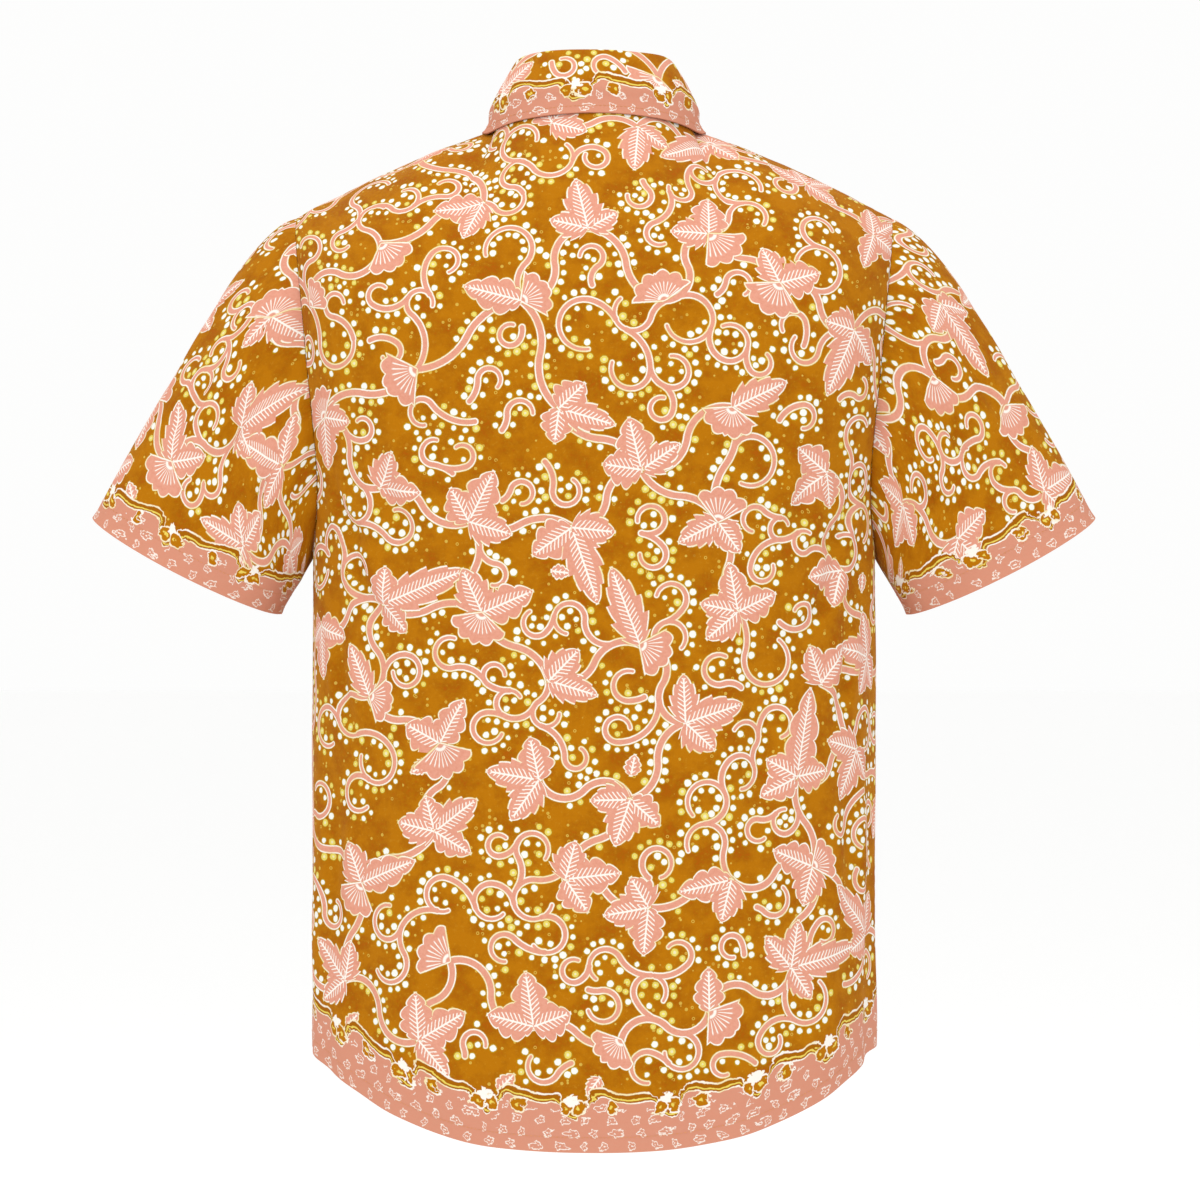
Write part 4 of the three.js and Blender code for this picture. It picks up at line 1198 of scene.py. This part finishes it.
def makeFall():
    turn = np.linspace(collarCut["endTurn"], -collarCut["endTurn"], collar["around"])
    side, angle = np.sign(turn), np.abs(turn)
    swing = np.clip(angle / cut["neckPoint"], 0, 1) * math.pi / 2
    t = np.clip((angle - cut["neckPoint"]) / (collarCut["endTurn"] - cut["neckPoint"]), 0, 1)
    x = np.where(t > 0, mix(collarCut["fallHalfWidth"], collarCut["pointX"], t**1.8),
                 collarCut["fallHalfWidth"] * np.sin(swing) ** 0.9)
    y = np.where(t > 0, mix(collarCut["fallSideY"], collarCut["pointY"], t),
                 mix(collarCut["fallSideY"], collarCut["fallBackY"], np.cos(swing)))
    z = np.where(t > 0, mix(collarCut["fallSideZ"], collarCut["pointZ"], t**1.25),
                 mix(collarCut["fallSideZ"], collarCut["fallBackZ"], np.cos(swing)))
    edge = stack(side * x, y, z)
    top = standTop(turn)
    out = unit(stack(np.sin(turn) / collarCut["topHalfWidth"],
                     np.cos(turn) / collarCut["topHalfDepth"], 0 * turn))
    upward = np.array([0, 0, 1.0])
    fold = top + out * collarCut["roll"] + upward * collarCut["foldUp"]
    rise = np.linspace(0, 1, collar["fallRows"])[:, None, None]
    p = edge[None] * (1 - rise) + fold[None] * rise + out[None] * collarCut["belly"] * np.sin(math.pi * rise)
    tree = bodyTree()
    push = np.zeros(p.shape)
    lowRows = int(len(p) * collar["lowShare"])
    for i in range(lowRows):
        hold = (1 - i / lowRows) ** 2
        for j in range(p.shape[1]):
            at, normal, _, away = tree.find_nearest(Vector(p[i, j]))
            height = (Vector(p[i, j]) - at).dot(normal)
            signed = away if height > 0 else -away
            if away < collar["restsWithin"]:         # the free edge rests on the shoulders
                share = 1 if signed < collarCut["room"] else hold
                push[i, j] = np.array(normal) * (collarCut["room"] - signed) * share
    for _ in range(6):
        push[:, 1:-1] = (push[:, :-2] + push[:, 1:-1] * 2 + push[:, 2:]) / 4
    p = p + push
    over1 = top + out * 0.0012 + upward * 0.0042
    over2 = top - out * 0.0016 + upward * 0.0030
    bend = np.linspace(0, 1, collar["overRows"] + 1)[1:, None, None]
    roll = fold * (1 - bend) ** 2 + over1 * 2 * bend * (1 - bend) + over2 * bend**2
    p = np.concatenate([p, roll])
    s, up = flatPlan(p, 0)
    s = s - s[:, collar["around"] // 2][:, None]
    p = p + gridNormals(p, False) * softRipple(s, up, 61, 0.0006)[..., None] * smooth(up / 0.02)[..., None]
    plan = PrintPlan(67, (-0.25, -0.01), (0.25, 0.09), lambda qs, qt: qt > 0.026).make()
    addCloth("collar_fall", p, s, up, s, up, collar["fallBand"], plan, (), thick=collar["fallThick"])


makeFall()


# topstitching, laid along lines on the cloth
stitching = {"pitch": 0.0031, "length": 0.0023, "thick": 0.00042, "lift": 0.00012}


def threadMaterial():
    material, tree, shader = newMaterial("sewing thread")
    place = tree.nodes.new("ShaderNodeTexCoord").outputs["Object"]
    twist = noiseField(tree, place, 900, 1, 0.5)
    color = layColor(tree, linearColor(214, 150, 92), linearColor(190, 122, 52), twist)
    tree.links.new(color, shader.inputs["Base Color"])
    shader.inputs["Roughness"].default_value = 0.6
    return material


def stitchTree(material):
    tree = bpy.data.node_groups.new("run of stitches", "GeometryNodeTree")
    tree.interface.new_socket("Geometry", in_out="INPUT", socket_type="NodeSocketGeometry")
    tree.interface.new_socket("Geometry", in_out="OUTPUT", socket_type="NodeSocketGeometry")
    for name in ("Pitch", "Stitch length", "Thread thickness"):
        tree.interface.new_socket(name, in_out="INPUT", socket_type="NodeSocketFloat")
    make = tree.nodes.new
    start, end = make("NodeGroupInput"), make("NodeGroupOutput")
    toCurve, toPoints = make("GeometryNodeMeshToCurve"), make("GeometryNodeCurveToPoints")
    toPoints.mode = "LENGTH"
    stitch, turn = make("GeometryNodeMeshIcoSphere"), make("FunctionNodeAlignRotationToVector")
    stitch.inputs["Subdivisions"].default_value = 1
    turn.axis = "Z"
    place, size = make("GeometryNodeInstanceOnPoints"), make("ShaderNodeCombineXYZ")
    halfLength, halfThick = make("ShaderNodeMath"), make("ShaderNodeMath")
    realize, paint = make("GeometryNodeRealizeInstances"), make("GeometryNodeSetMaterial")
    for node in (halfLength, halfThick):
        node.operation = "MULTIPLY"
        node.inputs[1].default_value = 0.5
    paint.inputs["Material"].default_value = material
    for source, socket, target, slot in (
            (start, "Geometry", toCurve, 0), (toCurve, 0, toPoints, 0), (start, "Pitch", toPoints, "Length"),
            (start, "Stitch length", halfLength, 0), (start, "Thread thickness", halfThick, 0),
            (halfThick, 0, size, 0), (halfThick, 0, size, 1), (halfLength, 0, size, 2),
            (toPoints, "Tangent", turn, "Vector"), (toPoints, "Points", place, "Points"),
            (stitch, 0, place, "Instance"), (turn, 0, place, "Rotation"), (size, 0, place, "Scale"),
            (place, 0, realize, 0), (realize, 0, paint, 0), (paint, 0, end, 0)):
        tree.links.new(source.outputs[socket], target.inputs[slot])
    return tree


threadFinish = threadMaterial()
stitchNodes = stitchTree(threadFinish)


def evaluatedMesh(thing, name):
    graph = bpy.context.evaluated_depsgraph_get()
    mesh = bpy.data.meshes.new_from_object(thing.evaluated_get(graph))
    bpy.data.objects.remove(thing)
    return addObject(name, mesh)


def addStitches(name, lines):
    points, edges = [], []
    for line in lines:
        edges += [(len(points) + i, len(points) + i + 1) for i in range(len(line) - 1)]
        points += [tuple(map(float, p)) for p in line]
    mesh = bpy.data.meshes.new(name)
    mesh.from_pydata(points, edges, [])
    guide = addObject(name, mesh)
    run = guide.modifiers.new("stitches", "NODES")
    run.node_group = stitchNodes
    wanted = {"Pitch": stitching["pitch"], "Stitch length": stitching["length"],
              "Thread thickness": stitching["thick"]}
    for item in stitchNodes.interface.items_tree:
        if item.item_type == "SOCKET" and item.name in wanted:
            run[item.identifier] = wanted[item.name]
    piece = evaluatedMesh(guide, name)
    piece.data.polygons.foreach_set("use_smooth", np.ones(len(piece.data.polygons), bool))
    finished[name] = piece


def lifted(p, ring=False):
    return p + gridNormals(p, ring) * stitching["lift"]


def lineAt(p, up, height):               # across the columns at one height above the edge
    line = []
    for j in range(p.shape[1]):
        order = np.argsort(up[:, j])
        line.append([np.interp(height, up[order, j], p[order, j, axis]) for axis in range(3)])
    return np.array(line)


underBand = -body["lapColumns"]
addStitches("stitches_back", [lineAt(lifted(backShape), bUp, body["hemLine"])])
addStitches("stitches_left", [lineAt(lifted(leftShape), lUp, body["hemLine"])])
addStitches("stitches_right",
            [lineAt(lifted(rightShape)[:, :underBand], rUp[:, :underBand], body["hemLine"])])
addStitches("stitches_band", [lifted(bandShape)[3:, 1], lifted(bandShape)[3:, -2]])


def outerGrid(name, rows, columns):
    mesh = finished[name].data
    co = np.zeros(len(mesh.vertices) * 3)
    mesh.vertices.foreach_get("co", co)
    return co.reshape(-1, 3)[:rows * columns].reshape(rows, columns, 3)


for name in ("sleeve_left", "sleeve_right"):
    p = outerGrid(name, sleeve["down"], sleeve["around"])
    upFromCuff = np.linalg.norm(p - p[-1:], axis=-1)
    line = lineAt(lifted(p, True), upFromCuff, sleeve["hemLine"])
    addStitches("stitches_" + name, [np.vstack([line, line[:1]])])

fallGrid = outerGrid("collar_fall", collar["fallRows"] + collar["overRows"], collar["around"])
fallUp = np.linalg.norm(np.diff(fallGrid, axis=0), axis=-1)
fallUp = np.concatenate([np.zeros((1, fallGrid.shape[1])), np.cumsum(fallUp, 0)])
fallLine = lineAt(lifted(fallGrid), fallUp, 0.0055)[2:-2]
addStitches("stitches_fall", [fallLine, lifted(fallGrid)[4:16, 3], lifted(fallGrid)[4:16, -4]])
print("stitches done")

# buttons
button = {"radius": 0.0054, "thick": 0.0021, "bevel": 0.0004, "holeOut": 0.0017, "hole": 0.00075,
          "rim": 0.0046, "rimThick": 0.00045, "first": -0.092, "step": 0.088, "count": 6, "proud": 0.0006,
          "threadRadius": 0.00042, "threadBow": 0.0005, "threadDip": 0.0006}


def buttonMaterial():
    material, tree, shader = newMaterial("button resin")
    place = tree.nodes.new("ShaderNodeTexCoord").outputs["Object"]
    swirl = noiseField(tree, place, 170, 4, 0.6, (1, 1, 0.35))
    color = layColor(tree, linearColor(120, 72, 26), linearColor(198, 146, 84), swirl)
    tree.links.new(color, shader.inputs["Base Color"])
    shader.inputs["Roughness"].default_value = 0.28
    shader.inputs["Coat Weight"].default_value = 0.3
    return material


def circleSpline(curve, x, y, radius):
    spline = curve.splines.new("POLY")
    spline.points.add(27)
    for i, point in enumerate(spline.points):
        angle = 2 * math.pi * i / 28
        point.co = (x + radius * math.cos(angle), y + radius * math.sin(angle), 0, 1)
    spline.use_cyclic_u = True


def buttonDisc():
    curve = bpy.data.curves.new("disc", "CURVE")
    curve.dimensions = "2D"
    curve.fill_mode = "BOTH"
    curve.extrude = button["thick"] / 2 - button["bevel"]
    curve.bevel_depth = button["bevel"]
    curve.bevel_resolution = 2
    circleSpline(curve, 0, 0, button["radius"] - button["bevel"])
    for i in range(4):
        angle = math.pi * (2 * i + 1) / 4
        circleSpline(curve, button["holeOut"] * math.cos(angle), button["holeOut"] * math.sin(angle),
                     button["hole"] + button["bevel"])
    return evaluatedMesh(addObject("disc", curve), "disc")


def tubeRing(points, radius, sides=8, closed=True):
    points = np.array(points)
    count = len(points)
    ahead = np.roll(points, -1, 0) - np.roll(points, 1, 0) if closed else np.gradient(points, axis=0)
    ahead = unit(ahead)
    aside = unit(np.cross(ahead, np.array([0, 0, 1.0]) + ahead[:, [1, 0, 2]] * 0.01))
    upward = np.cross(aside, ahead)
    angle = np.linspace(0, 2 * math.pi, sides, endpoint=False)
    ring = points[:, None] + radius * (aside[:, None] * np.cos(angle)[None, :, None]
                                       + upward[:, None] * np.sin(angle)[None, :, None])
    faces = []
    for i in range(count if closed else count - 1):
        for j in range(sides):
            a, b = i * sides + j, i * sides + (j + 1) % sides
            c = (i + 1) % count * sides
            faces.append((a, c + j, c + (j + 1) % sides, b))
    if not closed:
        faces.append(tuple(range(sides)))
        faces.append(tuple((count - 1) * sides + j for j in reversed(range(sides))))
    return ring.reshape(-1, 3).tolist(), faces


def addButton(number, at, out):
    disc = discMesh.copy()
    points = [tuple(v.co) for v in disc.vertices]
    faces = [tuple(f.vertices) for f in disc.polygons]
    slots = [0] * len(faces)
    angle = np.linspace(0, 2 * math.pi, 36, endpoint=False)
    rim = np.stack([np.cos(angle) * button["rim"], np.sin(angle) * button["rim"],
                    angle * 0 + button["thick"] / 2], -1)
    parts = [(tubeRing(rim, button["rimThick"]), 0)]
    reach = button["holeOut"] * math.sin(math.pi / 4)
    for row in (-1, 1):                  # two bars of thread through the holes
        bow = np.linspace(-1, 1, 9)
        bar = np.stack([bow * reach, bow * 0 + row * reach,
                        button["thick"] / 2 + button["threadBow"] * (1 - bow**4)
                        - button["threadDip"] * (np.abs(bow) > 0.95)], -1)
        parts.append((tubeRing(bar, button["threadRadius"], 7, False), 1))
    for (more, moreFaces), slotNumber in parts:
        faces += [tuple(i + len(points) for i in face) for face in moreFaces]
        slots += [slotNumber] * len(moreFaces)
        points += more
    turn = Vector((0, 0, 1)).rotation_difference(Vector(out)).to_matrix()
    middle = Vector(at) + Vector(out) * button["thick"] / 2
    placed = [tuple(turn @ Vector(p) + middle) for p in points]
    mesh = bpy.data.meshes.new(f"resin_button_{number}")
    mesh.from_pydata(placed, [], faces)
    mesh.materials.append(buttonFinish)
    mesh.materials.append(threadFinish)
    mesh.polygons.foreach_set("material_index", slots)
    mesh.polygons.foreach_set("use_smooth", np.ones(len(faces), bool))
    mesh.set_sharp_from_angle(angle=math.radians(40))
    finished[f"button_{number}"] = addObject(f"resin_button_{number}", mesh)


buttonFinish = buttonMaterial()
discObject = buttonDisc()
discMesh = discObject.data
frontLine = bandShape[:, body["bandColumns"] // 2]
frontOut = gridNormals(bandShape, False)[:, body["bandColumns"] // 2]
standLow, standHigh = neckSeam(np.array(math.pi)), standTop(np.array(math.pi))
standRise = unit(standHigh - standLow)
standOut = np.array([0, -standRise[2], standRise[1]])
addButton(1, (standLow + standHigh) / 2 + standOut * button["proud"], standOut)
for n in range(button["count"]):
    height = button["first"] - n * button["step"]
    at = np.array([np.interp(height, frontLine[:, 2], frontLine[:, axis]) for axis in range(3)])
    out = unit(np.array([np.interp(height, frontLine[:, 2], frontOut[:, axis]) for axis in range(3)]))
    addButton(n + 2, at + out * button["proud"], out)
bpy.data.objects.remove(discObject)
print("buttons done")

# floor, light and camera
studio = {"world": 0.985, "key": 26, "fill": 13, "top": 20, "floorZ": -1.25, "floorHalf": 30,
          "floorTone": (0.988, 0.988, 0.985, 1), "aim": (0, 0, -0.35), "lens": 102.96, "sensor": 36,
          "camera": (-0.0045, 2.6, -0.318)}
scene = bpy.context.scene
scene.view_settings.view_transform = "Standard"
scene.view_settings.look = "None"
world = bpy.data.worlds.new("studio")
scene.world = world
world.use_nodes = True
world.node_tree.nodes["Background"].inputs[0].default_value = (1.0, 1.0, 0.995, 1)
world.node_tree.nodes["Background"].inputs[1].default_value = studio["world"]

floorMesh = bpy.data.meshes.new("floor")
floorCorners = [(x * studio["floorHalf"], y * studio["floorHalf"], studio["floorZ"])
                for x, y in ((-1, -1), (1, -1), (1, 1), (-1, 1))]
floorMesh.from_pydata(floorCorners, [], [(0, 1, 2, 3)])
floor = addObject("floor", floorMesh)
floorPaint, _, floorShader = newMaterial("pale floor")
floorShader.inputs["Base Color"].default_value = studio["floorTone"]
floorShader.inputs["Roughness"].default_value = 0.9
floorMesh.materials.append(floorPaint)


def softLight(name, place, size, power):
    lamp = bpy.data.lights.new(name, "AREA")
    lamp.shape = "DISK"
    lamp.size = size
    lamp.energy = power
    light = addObject(name, lamp)
    light.location = place
    light.rotation_euler = (Vector(studio["aim"]) - Vector(place)).to_track_quat("-Z", "Y").to_euler()


softLight("key", (1.7, 2.6, 1.1), 1.6, studio["key"])
softLight("fill", (-2.0, 2.3, 0.3), 2.0, studio["fill"])
softLight("front", (0.8, -2.6, 1.0), 2.0, studio["fill"])
softLight("top", (0, 0.4, 2.2), 2.0, studio["top"])

viewer = bpy.data.cameras.new("camera")
viewer.lens = studio["lens"]
viewer.sensor_width = studio["sensor"]
camera = addObject("camera", viewer)
camera.location = studio["camera"]
camera.rotation_euler = (math.radians(90), 0, math.radians(180))
scene.camera = camera

# every piece hangs from the root, and the imported solids of the same names are hidden
clothPieces = {           # what each cut piece hangs from, and the stitches that run on it
    "back": ("collar_stand", "stitches_back"), "front_left": ("back", "stitches_left"),
    "front_right": ("back", "stitches_right"), "placket_band": ("front_left", "stitches_band"),
    "sleeve_left": ("back", "stitches_sleeve_left"), "sleeve_right": ("back", "stitches_sleeve_right"),
    "collar_stand": ("back", None), "collar_fall": ("collar_stand", "stitches_fall")}
for name, piece in finished.items():
    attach(piece, "root")
    if name.startswith("button"):
        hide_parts(name)
for name, (hangsFrom, stitches) in clothPieces.items():
    width, length, area = flatCut[name]
    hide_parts(name)
